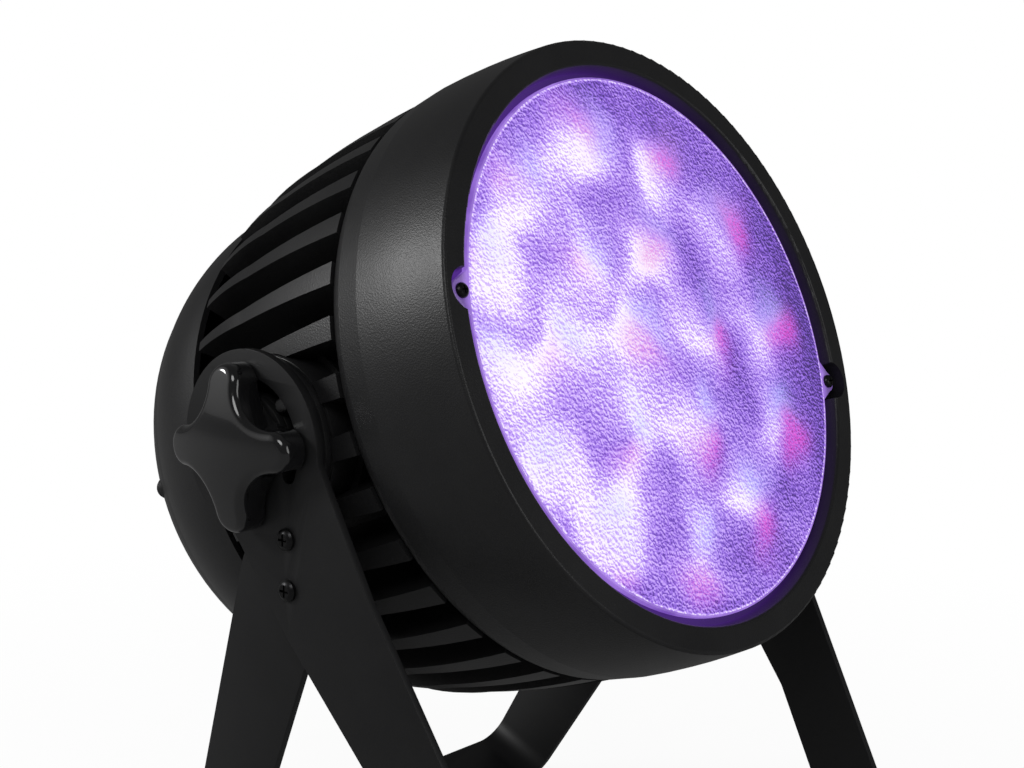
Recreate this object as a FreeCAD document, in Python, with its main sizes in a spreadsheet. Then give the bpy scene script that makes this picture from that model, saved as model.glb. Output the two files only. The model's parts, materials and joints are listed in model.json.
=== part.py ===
"""LED wash light in a double bracket, millimetres.

Stand frame: +Z up, the light faces -Y, the tilt axis runs along X, the floor is at Z = 0.
Head frame: origin on the tilt axis, X along it, Y up and Z forward along the light beam.
Left means the side at -X, seen by someone who faces the light.
"""
import FreeCAD, Part
import math
import os
import Sketcher

Vector = FreeCAD.Vector
Rotation = FreeCAD.Rotation
Placement = FreeCAD.Placement

SIZES = {
    # head and bezel
    "tilt": 21.0,
    "pivot_height": 200.0,
    "bezel_front_r": 117.0,
    "bezel_wide_r": 119.4,
    "bezel_rear_r": 118.6,
    "bezel_front_z": 96.0,
    "bezel_depth": 55.5,
    "bezel_wall": 1.8,
    "bezel_lip": 5.0,
    "bezel_edge": 1.2,
    "opening_r": 106.7,
    "ear_angle": 75.0,
    "ear_hole_ring_r": 106.4,
    "ear_hole_r": 2.3,
    "ear_tip_r": 4.2,
    "ear_base_half": 9.5,
    "ear_gap": 3.4,
    # lens cover and seal
    "lens_r": 103.2,
    "lens_recess": 3.2,
    "lens_thick": 2.6,
    "lens_crown": 3.0,
    "gasket_thick": 0.8,
    "gasket_width": 3.4,
    "ledge_thick": 4.0,
    # housing and ribs
    "housing_wall_r": 92.0,
    "housing_wall": 4.0,
    "housing_rear_z": 50.0,
    "flange_thick": 5.0,
    "fit_gap": 0.3,
    "rib_front_width": 8.8,
    "rib_rear_width": 3.6,
    "rib_rear_z": 47.5,
    "rib_mid_r": 114.9,
    "rib_rear_r": 108.4,
    "rib_mid_z": 14.0,
    "spreader_thick": 8.0,
    "spreader_r": 99.0,
    "lead_hole_r": 4.0,
    "lead_hole_y": 58.0,
    # screws
    "m4_r": 2.0,
    "m4_head_r": 3.9,
    "m4_head": 2.6,
    "thread_gap": 0.05,
    "through_gap": 0.25,
    "screw_ring_r": 109.3,
    "screw_boss_r": 4.6,
    "screw_boss_len": 30.0,
    "bezel_screw_len": 13.0,
    "m3_r": 1.5,
    "m3_head_r": 2.7,
    "m3_head": 1.8,
    "m2_r": 1.25,
    "m2_head_r": 2.2,
    "m2_head": 1.2,
    # light engine
    "board_r": 96.0,
    "board_thick": 1.6,
    "led_side": 7.0,
    "led_height": 2.4,
    "inner_ring_r": 38.0,
    "outer_ring_r": 76.0,
    "inner_ring_turn": 30.0,
    "lens_cup_r": 16.2,
    "lens_cup_rear_r": 5.4,
    "lens_cup_len": 15.0,
    "lens_lip": 1.3,
    "lens_lip_thick": 1.6,
    "holder_r": 99.5,
    "holder_thick": 3.0,
    "holder_post_ring_r": 57.0,
    "holder_post_r": 3.2,
    "holder_post_turn": 15.0,
    "board_screw_turn": 45.0,
    # electronics
    "standoff_r": 3.2,
    "standoff_x": 50.0,
    "standoff_y": 34.0,
    "driver_x": 118.0,
    "driver_y": 84.0,
    "driver_drop": 18.0,
    "chip_side": 16.0,
    "chip_height": 4.0,
    "choke_r": 7.0,
    "choke_height": 12.0,
    "supply_x": 116.0,
    "supply_y": 80.0,
    "supply_z": 34.0,
    "supply_drop": 46.0,
    "supply_edge": 2.0,
    "lead_r": 2.2,
    # rear cap
    "cap_front_z": 54.0,
    "cap_front_r": 105.5,
    "cap_wall": 2.6,
    "cap_waist_z": 92.0,
    "cap_waist_r": 95.4,
    "cap_side_bow": 78.0,
    "cap_shoulder_z": 107.5,
    "cap_shoulder_r": 84.6,
    "cap_shoulder_bow": 42.0,
    "cap_rear_z": 121.0,
    "cap_rear_r": 64.0,
    "cap_rear_bow": 36.0,
    "skirt_r": 83.6,
    "skirt_wall": 3.4,
    "seal_thick": 2.0,
    "rear_lip_thick": 5.0,
    "post_ring_r": 88.0,
    "post_r": 4.5,
    "post_seat_z": 101.0,
    "post_bite": 12.0,
    # rear panel
    "panel_r": 58.0,
    "panel_thick": 2.5,
    "panel_ledge": 5.0,
    "panel_screw_ring_r": 55.3,
    "window_x": 38.0,
    "window_y": 20.0,
    "window_at_y": 33.0,
    "window_thick": 1.6,
    "button_r": 3.6,
    "button_gap": 0.3,
    "button_pitch": 15.0,
    "button_at_y": 13.0,
    "button_out": 1.6,
    "button_travel": 0.8,
    "button_flange": 1.2,
    "switch_side": 6.0,
    "panel_board_y": 48.0,
    "panel_board_x": 78.0,
    "socket_r": 10.6,
    "socket_bore_r": 8.6,
    "socket_flange_r": 12.2,
    "socket_flange": 2.0,
    "socket_depth": 20.0,
    "socket_bore": 15.0,
    "socket_pitch": 25.6,
    "socket_at_y": 16.0,
    "contact_r": 1.2,
    "contact_ring_r": 5.2,
    "contact_len": 4.0,
    "vent_r": 5.0,
    "vent_head_r": 8.0,
    "vent_head": 3.0,
    "vent_at_y": 43.0,
    "eye_at_r": 74.0,
    "eye_angle": 285.0,
    "eye_wire_r": 2.5,
    "eye_ring_r": 10.2,
    "eye_seat_r": 8.0,
    "eye_neck": 2.5,
    # pivot
    "hub_pad_r": 33.0,
    "hub_pad_x": 104.0,
    "hub_r": 30.6,
    "hub_core_r": 15.6,
    "hub_rim": 5.0,
    "hub_base": 4.0,
    "washer_thick": 1.2,
    "hub_thrust": 3.2,
    "hub_groove": 0.8,
    "hub_clear": 0.2,
    "stud_r": 5.0,
    "stud_gap": 0.05,
    "stud_head_r": 8.0,
    "stud_head": 6.0,
    "stud_out": 10.5,
    "stop_pin_r": 2.6,
    "stop_at": 43.0,
    "stop_short": 1.0,
    # brackets
    "plate_thick": 3.0,
    "front_plate_x": 127.5,
    "bend_inner_r": 12.0,
    "front_splay": 29.0,
    "front_lean": 5.0,
    "front_lean_v": 68.0,
    "front_disc_r": 34.0,
    "front_edge_u": 28.7,
    "front_neck_u": 23.3,
    "front_leg_front": 29.5,
    "front_leg_rear": 1.3,
    "front_taper_end": 150.0,
    "rear_splay": 25.0,
    "rear_lean": 10.1,
    "rear_lean_v": 42.0,
    "rear_disc_r": 32.0,
    "rear_hip_u": 53.1,
    "rear_hip_v": 45.0,
    "rear_leg_front": 40.9,
    "rear_leg_rear": 11.3,
    "slot_ring_r": 21.3,
    "slot_width": 6.0,
    "slot_from": -26.0,
    "slot_to": 112.0,
    "clamp_hole_r": 6.25,
    "upper_screw_y": 18.9,
    "upper_screw_z": 30.8,
    "lower_screw_y": 19.5,
    "lower_screw_z": 49.0,
    "bracket_nut_r": 3.9,
    "bracket_nut": 2.4,
    "bracket_screw_head": 2.2,
    # knobs
    "knob_r": 29.8,
    "knob_lobe_r": 7.4,
    "knob_waist_r": 16.8,
    "knob_lobe_z": 9.6,
    "knob_crown_z": 14.0,
    "knob_round": 3.4,
    "knob_turn": 4.4,
    "knob_washer_r": 11.0,
    "knob_washer": 1.0,
    "insert_r": 7.5,
    "insert_len": 10.0,
    # shared
    "overrun": 2.0,
    "rib_count": 36,
}

doc = FreeCAD.newDocument("led_wash_light")
sheet = doc.addObject("Spreadsheet::Sheet", "size")
for row, (alias, amount) in enumerate(SIZES.items(), start=1):
    sheet.set("A%d" % row, alias)
    sheet.set("B%d" % row, str(amount))
    sheet.setAlias("B%d" % row, alias)
doc.recompute()

PIECES = []


def number(words):
    """The value of an expression that names cells of the sheet."""
    return float(sheet.evalExpression(words))


def keep(piece, label):
    piece.Label = label
    PIECES.append(piece)
    return piece


# Drawing helpers

def new_body(label):
    return doc.addObject("PartDesign::Body", label)


def new_sketch(body, role, offset="0", turn=None):
    """An empty sketch on an origin plane, moved along its normal and turned in head angles."""
    sketch = body.newObject("Sketcher::SketchObject", body.Name + "_sketch")
    plane = next(item for item in body.Origin.OriginFeatures if item.Role == role)
    sketch.AttachmentSupport = [(plane, "")]
    sketch.MapMode = "FlatFace"
    if turn is not None:
        axis = Vector(0, 0, 1) if role == "XY_Plane" else Vector(0, 1, 0)
        sketch.AttachmentOffset = Placement(Vector(), Rotation(axis, 1))
        sketch.setExpression("AttachmentOffset.Rotation.Angle", turn)
    sketch.setExpression("AttachmentOffset.Base.z", offset)
    return sketch


def bind(sketch, kind, *where):
    """Adds a constraint whose last item is an expression and binds it to that expression."""
    words = where[-1]
    amount = number(words)
    if kind in ("DistanceX", "DistanceY") and abs(amount) < 1e-9:
        axis = -2 if kind == "DistanceX" else -1
        sketch.addConstraint(Sketcher.Constraint("PointOnObject", *where[2:-1], axis))
        return
    index = sketch.addConstraint(Sketcher.Constraint(kind, *where[:-1], amount))
    sketch.setExpression("Constraints[%d]" % index, words)


def arc_between(start, end, radius, side):
    """The short arc between two points; side 1 has its centre left of the way, -1 right of it."""
    chord = end - start
    half = chord.Length / 2
    rise = math.sqrt(max(radius * radius - half * half, 0))
    left = Vector(-chord.y, chord.x, 0).normalize()
    centre = (start + end) / 2 + left * rise * side
    circle = Part.Circle(centre, Vector(0, 0, 1), radius)
    ends = (start, end) if side > 0 else (end, start)
    angles = [math.atan2(point.y - centre.y, point.x - centre.x) for point in ends]
    if angles[1] < angles[0]:
        angles[1] += 2 * math.pi
    return Part.ArcOfCircle(circle, angles[0], angles[1])


def outline(sketch, points):
    """A closed outline. A point is (x, y) or, at the end of an arc, (x, y, radius, side)."""
    places = [Vector(number(point[0]), number(point[1]), 0) for point in points]
    starts = []
    ends = []
    for index, start in enumerate(places):
        following = (index + 1) % len(points)
        end = places[following]
        bow = points[following][2:]
        if bow:
            edge = sketch.addGeometry(arc_between(start, end, number(bow[0]), bow[1]))
            starts.append((edge, 1 if bow[1] > 0 else 2))
            ends.append((edge, 2 if bow[1] > 0 else 1))
        else:
            edge = sketch.addGeometry(Part.LineSegment(start, end))
            starts.append((edge, 1))
            ends.append((edge, 2))
    for index, point in enumerate(points):
        sketch.addConstraint(Sketcher.Constraint("Coincident", *ends[index - 1], *starts[index]))
        bind(sketch, "DistanceX", -1, 1, *starts[index], point[0])
        bind(sketch, "DistanceY", -1, 1, *starts[index], point[1])
        if point[2:]:
            bind(sketch, "Radius", ends[index - 1][0], point[2])


def circle(sketch, x, y, radius):
    centre = Vector(number(x), number(y), 0)
    edge = sketch.addGeometry(Part.Circle(centre, Vector(0, 0, 1), number(radius)))
    bind(sketch, "DistanceX", -1, 1, edge, 3, x)
    bind(sketch, "DistanceY", -1, 1, edge, 3, y)
    bind(sketch, "Radius", edge, radius)


def rectangle(sketch, left, low, right, high):
    outline(sketch, [(left, low), (right, low), (right, high), (left, high)])


def feature(body, kind, sketch, **settings):
    made = body.newObject("PartDesign::" + kind, body.Name + "_" + kind)
    made.Profile = sketch
    for name, setting in settings.items():
        if isinstance(setting, str) and name in ("Length", "Angle"):
            made.setExpression(name, setting)
        else:
            setattr(made, name, setting)
    sketch.Visibility = False
    return made


def turn(body, points, kind="Revolution"):
    """A ring or a groove round the body's Z axis, from an outline in (radius, z)."""
    sketch = new_sketch(body, "XZ_Plane")
    outline(sketch, points)
    return feature(body, kind, sketch, ReferenceAxis=(sketch, ["V_Axis"]), Angle=360)


def pad(body, sketch, length, **settings):
    return feature(body, "Pad", sketch, Length=length, **settings)


def pocket(body, sketch, **settings):
    """A pocket, tested to remove something."""
    doc.recompute()
    before = body.Shape.Volume
    made = feature(body, "Pocket", sketch, **settings)
    doc.recompute()
    if body.Shape.Volume >= before:
        raise RuntimeError("a pocket of %s removes nothing" % body.Label)
    return made


def cut(body, sketch, length):
    """A pocket of the given length along the sketch's normal."""
    return pocket(body, sketch, Length=length, Reversed=True)


def cut_through(body, sketch):
    return pocket(body, sketch, Type="ThroughAll", SideType="Symmetric")


def around(body, original, count):
    """Copies of a feature round the body's Z axis."""
    axis = next(item for item in body.Origin.OriginFeatures if item.Role == "Z_Axis")
    made = body.newObject("PartDesign::PolarPattern", body.Name + "_pattern")
    made.Originals = [original]
    made.Axis = (axis, [""])
    made.Angle = 360
    if isinstance(count, str):
        made.setExpression("Occurrences", count)
    else:
        made.Occurrences = count
    body.Tip = made
    doc.recompute()
    return made


def ring(label, points):
    """A turned piece."""
    body = new_body(label)
    turn(body, points)
    return body


def tube_points(inner, outer, low, high):
    return [(inner, low), (outer, low), (outer, high), (inner, high)]


def group(label, master, places):
    """One node of equal separate solids: copies of a master piece."""
    doc.recompute()
    solids = []
    for place in places:
        solid = master.Shape.copy()
        solid.Placement = place.multiply(solid.Placement)
        solids.append(solid)
    node = doc.addObject("Part::Feature", label)
    node.Shape = Part.makeCompound(solids)
    return node


# Where the pieces go

REAR_LOW = "(size.pivot_height - size.rear_leg_front * sin(size.rear_splay))"
FRONT_LOW = "(size.pivot_height - size.front_leg_rear * sin(size.front_splay))"
REAR_DEPTH = "(" + REAR_LOW + " / cos(size.rear_splay))"
FRONT_DEPTH = "(" + FRONT_LOW + " / cos(size.front_splay))"
FRONT_REACH = ("(size.front_leg_front * cos(size.front_splay)"
               " + " + FRONT_DEPTH + " * sin(size.front_splay))")
REAR_REACH = "(size.cap_rear_z * cos(size.tilt) + size.cap_rear_r * sin(size.tilt))"
PIVOT_Y = "((" + FRONT_REACH + " - " + REAR_REACH + ") / 2)"


def in_head(piece):
    """Places a piece that is drawn in the head frame."""
    piece.Placement = Placement(Vector(), Rotation(Vector(1, 0, 0), 90 - number("size.tilt")))
    piece.setExpression("Placement.Rotation.Angle", "90 - size.tilt")
    piece.setExpression("Placement.Base.y", PIVOT_Y)
    piece.setExpression("Placement.Base.z", "size.pivot_height")
    return piece


def head_place():
    tilt = Rotation(Vector(1, 0, 0), 90 - number("size.tilt"))
    return Placement(Vector(0, number(PIVOT_Y), number("size.pivot_height")), tilt)


def head_point(radius, angle, z):
    """A point of the head frame from a ring radius and an angle from straight up towards -X."""
    turned = math.radians(angle)
    return Vector(-radius * math.sin(turned), radius * math.cos(turned), z)


def ring_places(radius, z, count, start=0.0, flip=False):
    """Placements on a ring of the head frame; flip turns the piece to face the rear."""
    facing = Rotation(Vector(1, 0, 0), 180) if flip else Rotation()
    return [Placement(head_point(radius, start + 360 * index / count, z), facing)
            for index in range(count)]


BEZEL_REAR_Z = "(size.bezel_front_z - size.bezel_depth)"
FLANGE_Z = "(" + BEZEL_REAR_Z + " + size.fit_gap)"
SPREADER_REAR_Z = "(" + FLANGE_Z + " + size.flange_thick)"
SPREADER_Z = "(" + SPREADER_REAR_Z + " + size.spreader_thick)"
FLANGE_R = "(size.bezel_front_r - size.bezel_wall - size.fit_gap)"
LENS_Z = "(size.bezel_front_z - size.lens_recess)"
LENS_BACK_Z = "(" + LENS_Z + " - size.lens_thick)"
LEDGE_Z = "(" + LENS_BACK_Z + " - size.gasket_thick)"
LEDGE_R = "(size.lens_r - size.gasket_width - size.overrun)"
INNER_R = "(size.housing_wall_r - size.housing_wall)"
BOARD_Z = "(" + SPREADER_Z + " + size.board_thick)"
BOARD_BITE = "(size.spreader_thick - size.overrun)"
LED_TOP_Z = "(" + BOARD_Z + " + size.led_height)"
CUP_FRONT_Z = "(" + LED_TOP_Z + " + size.lens_cup_len)"
HOLDER_Z = "(" + CUP_FRONT_Z + " - size.lens_lip_thick)"
PANEL_Z = "(-size.cap_rear_z)"


# Bezel, lens cover and seal

def front_bezel():
    """Bell-shaped cast ring with a rounded rear lip, a lens ledge, screw bosses and ear pockets."""
    body = new_body("front_bezel")
    inner = "(size.bezel_front_r - size.bezel_wall)"
    wide_z = "(" + BEZEL_REAR_Z + " + size.bezel_depth * 0.27)"
    turn(body, [
        (inner, BEZEL_REAR_Z),
        ("size.bezel_rear_r - size.bezel_edge * 2", BEZEL_REAR_Z),
        ("size.bezel_rear_r", BEZEL_REAR_Z + " + size.bezel_lip", "size.bezel_lip * 1.4", 1),
        ("size.bezel_wide_r", wide_z),
        ("size.bezel_front_r", "size.bezel_front_z - size.bezel_edge", "size.bezel_depth * 5", 1),
        ("size.bezel_front_r - size.bezel_edge", "size.bezel_front_z", "size.bezel_edge * 1.2", 1),
        ("size.opening_r + size.bezel_edge", "size.bezel_front_z"),
        ("size.opening_r", "size.bezel_front_z - size.bezel_edge", "size.bezel_edge * 1.2", 1),
        ("size.opening_r - size.bezel_edge", LEDGE_Z),
        (LEDGE_R, LEDGE_Z),
        (LEDGE_R, LEDGE_Z + " - size.ledge_thick"),
        (inner, LEDGE_Z + " - size.ledge_thick * 3"),
    ])
    pockets = new_sketch(body, "XY_Plane", LEDGE_Z, "size.ear_angle")
    circle(pockets, "0", "size.ear_hole_ring_r", "size.ear_tip_r + size.ear_gap")
    around(body, cut(body, pockets, "size.bezel_front_z"), 2)
    pins = new_sketch(body, "XY_Plane", LEDGE_Z + " - size.ledge_thick", "size.ear_angle")
    circle(pins, "0", "size.ear_hole_ring_r", "size.m3_r + size.thread_gap")
    around(body, cut(body, pins, "size.ledge_thick"), 2)
    bosses = new_sketch(body, "XY_Plane", SPREADER_REAR_Z + " + size.fit_gap")
    half = "size.screw_boss_r"
    root = "(size.bezel_front_r - size.bezel_wall / 2)"
    outline(bosses, [
        ("-" + half, root),
        ("-" + half, "size.screw_ring_r"),
        ("0", "size.screw_ring_r - " + half, half, 1),
        (half, "size.screw_ring_r", half, 1),
        (half, root),
    ])
    around(body, pad(body, bosses, "size.screw_boss_len"), 6)
    holes = new_sketch(body, "XY_Plane", SPREADER_REAR_Z)
    circle(holes, "0", "size.screw_ring_r", "size.m4_r + size.thread_gap")
    around(body, cut(body, holes, "size.bezel_screw_len"), 6)
    return keep(in_head(body), "front_bezel")


def lens_cover():
    """Frosted, slightly domed disc with two pierced ears."""
    body = new_body("lens_cover")
    bow = "((size.lens_r ^ 2 + size.lens_crown ^ 2) / (2 * size.lens_crown))"
    turn(body, [
        ("0", LENS_BACK_Z + " + size.lens_crown - size.overrun"),
        ("size.lens_r * 0.9", LENS_BACK_Z),
        ("size.lens_r", LENS_BACK_Z),
        ("size.lens_r", LENS_Z),
        ("0", LENS_Z + " + size.lens_crown", bow, 1),
    ])
    ears = new_sketch(body, "XY_Plane", LENS_BACK_Z, "size.ear_angle")
    root = "(size.lens_r - size.overrun)"
    side = "(size.ear_tip_r * 0.94)"
    tip = "(size.ear_hole_ring_r + size.ear_tip_r * 0.34)"
    outline(ears, [
        ("size.ear_base_half", root),
        (side, tip),
        ("-" + side, tip, "size.ear_tip_r", 1),
        ("-size.ear_base_half", root),
    ])
    around(body, pad(body, ears, "size.lens_thick"), 2)
    holes = new_sketch(body, "XY_Plane", LENS_BACK_Z + " - size.overrun", "size.ear_angle")
    circle(holes, "0", "size.ear_hole_ring_r", "size.ear_hole_r")
    around(body, cut(body, holes, "size.lens_thick + size.overrun * 2"), 2)
    return keep(in_head(body), "lens_cover")


def lens_gasket():
    outer = "(" + LEDGE_R + " + size.gasket_width)"
    body = ring("lens_gasket", tube_points(LEDGE_R, outer, LEDGE_Z, LENS_BACK_Z))
    return keep(in_head(body), "lens_gasket")


def pan_screw(label, shaft, head, head_high, length):
    """A screw along Z: the shaft points to -Z from the seat at 0, the rounded head is above."""
    body = new_body(label)
    turn(body, [
        ("0", "-" + length),
        (shaft, "-" + length),
        (shaft, "0"),
        (head, "0"),
        (head, head_high + " * 0.45"),
        (head + " * 0.62", head_high, head + " * 0.72", 1),
        ("0", head_high),
    ])
    cross = new_sketch(body, "XY_Plane", head_high + " * 0.4")
    arm = "(" + head + " * 0.55)"
    half = "(" + head + " * 0.11)"
    outline(cross, [
        (half, half), (half, arm), ("-" + half, arm), ("-" + half, half), ("-" + arm, half),
        ("-" + arm, "-" + half), ("-" + half, "-" + half), ("-" + half, "-" + arm),
        (half, "-" + arm), (half, "-" + half), (arm, "-" + half), (arm, half),
    ])
    cut(body, cross, head_high)
    return body


def placed_group(label, master, places):
    """A group whose places are in the head frame."""
    node = group(label, master, places)
    node.Placement = head_place()
    return keep(node, label)


def lens_cover_screws():
    length = "(size.lens_thick + size.ledge_thick)"
    master = pan_screw("ear_screw_master", "size.m3_r", "size.m3_head_r", "size.m3_head", length)
    places = ring_places(number("size.ear_hole_ring_r"), number(LENS_Z), 2, number("size.ear_angle"))
    return placed_group("lens_cover_screws", master, places)


def bezel_screws():
    master = pan_screw("bezel_screw_master", "size.m4_r", "size.m4_head_r", "size.m4_head",
                       "size.bezel_screw_len")
    places = ring_places(number("size.screw_ring_r"), number(FLANGE_Z), 6, flip=True)
    return placed_group("bezel_screws", master, places)


# Housing

def ribbed_housing():
    """Cast body: a can with a thick front plate, a flange and ribs that taper to the rear."""
    body = new_body("ribbed_housing")
    rear = "(-size.housing_rear_z)"
    top = "(size.bezel_rear_r + size.overrun)"
    turn(body, [
        ("0", rear),
        ("size.housing_wall_r", rear),
        ("size.housing_wall_r", FLANGE_Z),
        (FLANGE_R, FLANGE_Z),
        (FLANGE_R, SPREADER_REAR_Z),
        ("size.spreader_r", SPREADER_REAR_Z),
        ("size.spreader_r", SPREADER_Z),
        ("0", SPREADER_Z),
    ])
    rib = new_sketch(body, "XZ_Plane", "0", "180 / size.rib_count")
    front = "(size.rib_front_width / 2)"
    back = "(size.rib_rear_width / 2)"
    outline(rib, [
        ("-" + back, "-size.rib_rear_z"), (back, "-size.rib_rear_z"),
        (front, FLANGE_Z + " + size.fit_gap"), ("-" + front, FLANGE_Z + " + size.fit_gap"),
    ])
    around(body, pad(body, rib, top), "size.rib_count")
    wide = "(" + top + " * 1.1)"
    rear_side = "(-size.rib_rear_z - size.overrun)"
    turn(body, [
        ("size.rib_rear_r", rear_side),
        (wide, rear_side),
        (wide, SPREADER_Z),
        (FLANGE_R, SPREADER_Z),
        (FLANGE_R, BEZEL_REAR_Z + " - size.fit_gap"),
        ("size.bezel_rear_r - size.bezel_edge / 2", BEZEL_REAR_Z + " - size.fit_gap"),
        ("size.rib_mid_r", "-size.rib_mid_z", "size.bezel_front_r * 3.2", -1),
        ("size.rib_rear_r", "-size.rib_rear_z", "size.bezel_front_r * 1.1", -1),
    ], "Groove")
    for side in (1, -1):
        pad_sketch = new_sketch(body, "YZ_Plane", "%d * size.hub_pad_x / 2" % side)
        circle(pad_sketch, "0", "0", "size.hub_pad_r")
        pad(body, pad_sketch, "size.hub_pad_x / 2", Reversed=side < 0)
        clearing = new_sketch(body, "YZ_Plane", "%d * size.hub_pad_x" % side)
        circle(clearing, "0", "0", "size.hub_r + size.fit_gap")
        pocket(body, clearing, Length="size.bezel_front_r", Reversed=side > 0)
    lip = "(size.skirt_r - size.skirt_wall - size.overrun)"
    turn(body, [
        ("0", rear + " - size.overrun"),
        (lip, rear + " - size.overrun"),
        (lip, rear + " + size.rear_lip_thick"),
        (INNER_R, rear + " + size.rear_lip_thick"),
        (INNER_R, SPREADER_REAR_Z),
        ("0", SPREADER_REAR_Z),
    ], "Groove")
    bore = new_sketch(body, "YZ_Plane")
    circle(bore, "0", "0", "size.stud_r + size.through_gap")
    cut_through(body, bore)
    screw_ring = new_sketch(body, "XY_Plane", FLANGE_Z + " - size.overrun")
    circle(screw_ring, "0", "size.screw_ring_r", "size.m4_r + size.through_gap")
    around(body, cut(body, screw_ring, "size.flange_thick + size.overrun * 2"), 6)
    posts = new_sketch(body, "XY_Plane", rear)
    circle(posts, "0", "size.post_ring_r", "size.post_r")
    around(body, pad(body, posts, "size.post_bite + size.overrun"), 4)
    threads = new_sketch(body, "XY_Plane", rear)
    circle(threads, "0", "size.post_ring_r", "size.m4_r + size.thread_gap")
    around(body, cut(body, threads, "size.post_bite"), 4)
    lead_hole = new_sketch(body, "XY_Plane", SPREADER_REAR_Z + " - size.overrun")
    circle(lead_hole, "0", "size.lead_hole_y", "size.lead_hole_r")
    cut(body, lead_hole, "size.spreader_thick + size.overrun * 2")
    board_threads = new_sketch(body, "XY_Plane", SPREADER_Z + " - " + BOARD_BITE,
                               "size.board_screw_turn")
    circle(board_threads, "0", "size.holder_post_ring_r", "size.m3_r + size.thread_gap")
    around(body, cut(body, board_threads, BOARD_BITE + " + size.overrun"), 6)
    return keep(in_head(body), "ribbed_housing")


# Light engine

def led_points():
    """The nineteen places: one in the middle, a ring of six and a ring of twelve."""
    places = [(0.0, 0.0)]
    for radius, start, count in (("size.inner_ring_r", "size.inner_ring_turn", 6),
                                 ("size.outer_ring_r", "0", 12)):
        places += [(number(radius), number(start) + 360 * index / count) for index in range(count)]
    return places


def led_places(z):
    return [Placement(head_point(radius, angle, z), Rotation()) for radius, angle in led_points()]


def led_board():
    body = new_body("led_board")
    turn(body, [("0", SPREADER_Z), ("size.board_r", SPREADER_Z), ("size.board_r", BOARD_Z),
                ("0", BOARD_Z)])
    lead = new_sketch(body, "XY_Plane", SPREADER_Z + " - size.overrun")
    circle(lead, "0", "size.lead_hole_y", "size.lead_r + size.through_gap")
    cut(body, lead, "size.board_thick + size.overrun * 2")
    screws = new_sketch(body, "XY_Plane", SPREADER_Z + " - size.overrun", "size.board_screw_turn")
    circle(screws, "0", "size.holder_post_ring_r", "size.m3_r + size.through_gap")
    around(body, cut(body, screws, "size.board_thick + size.overrun * 2"), 6)
    return keep(in_head(body), "led_board")


def led_board_screws():
    length = "(size.board_thick + " + BOARD_BITE + " - size.fit_gap)"
    master = pan_screw("board_screw_master", "size.m3_r", "size.m3_head_r", "size.m3_head", length)
    places = ring_places(number("size.holder_post_ring_r"), number(BOARD_Z), 6,
                         number("size.board_screw_turn"))
    return placed_group("led_board_screws", master, places)


def led_emitters():
    """Square packages with a round dome."""
    body = new_body("emitter_master")
    base = new_sketch(body, "XY_Plane")
    half = "(size.led_side / 2)"
    rectangle(base, "-" + half, "-" + half, half, half)
    pad(body, base, "size.led_height / 2")
    turn(body, [("0", "size.led_height / 4"), ("size.led_side * 0.4", "size.led_height / 4"),
                ("size.led_side * 0.4", "size.led_height / 2"),
                ("0", "size.led_height", "size.led_side * 0.45", 1)])
    return placed_group("led_emitters", body, led_places(number(BOARD_Z)))


def collimator_lenses():
    """Clear cups that widen to the front and end in a lip, with a hollow over the LED."""
    lip = "(size.lens_cup_r + size.lens_lip)"
    body = ring("collimator_master", [
        ("0", "size.lens_cup_len * 0.35"),
        ("size.lens_cup_rear_r * 0.7", "size.lens_cup_len * 0.3"),
        ("size.lens_cup_rear_r * 0.8", "0"),
        ("size.lens_cup_rear_r", "0"),
        ("size.lens_cup_r - size.fit_gap", "size.lens_cup_len - size.lens_lip_thick",
         "size.lens_cup_len * 1.6", -1),
        (lip, "size.lens_cup_len - size.lens_lip_thick"),
        (lip, "size.lens_cup_len"),
        ("0", "size.lens_cup_len"),
    ])
    return placed_group("collimator_lenses", body, led_places(number(LED_TOP_Z)))


def lens_holder():
    """Plate with a hole for each collimator, on six posts that stand on the LED board."""
    body = new_body("lens_holder")
    low = "(" + HOLDER_Z + " - size.holder_thick)"
    turn(body, [("0", low), ("size.holder_r", low), ("size.holder_r", HOLDER_Z), ("0", HOLDER_Z)])
    holes = new_sketch(body, "XY_Plane", low + " - size.overrun")
    for radius, angle in led_points():
        place = head_point(radius, angle, 0)
        ring_name = "size.outer_ring_r" if radius > number("size.inner_ring_r") else "size.inner_ring_r"
        circle(holes, "%s * %.6f" % (ring_name, place.x / max(radius, 1)),
               "%s * %.6f" % (ring_name, place.y / max(radius, 1)), "size.lens_cup_r")
    cut(body, holes, "size.holder_thick + size.overrun * 2")
    posts = new_sketch(body, "XY_Plane", BOARD_Z, "size.holder_post_turn")
    circle(posts, "0", "size.holder_post_ring_r", "size.holder_post_r")
    around(body, pad(body, posts, low + " - " + BOARD_Z + " + size.fit_gap"), 6)
    return keep(in_head(body), "lens_holder")


# Electronics

def corner_places(x, y, z):
    return [Placement(Vector(across * x, up * y, z), Rotation())
            for across in (-1, 1) for up in (-1, 1)]


DRIVER_Z = "(" + SPREADER_REAR_Z + " - size.driver_drop)"
SUPPLY_Z = "(" + DRIVER_Z + " - size.board_thick - size.supply_drop + size.driver_drop)"


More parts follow.
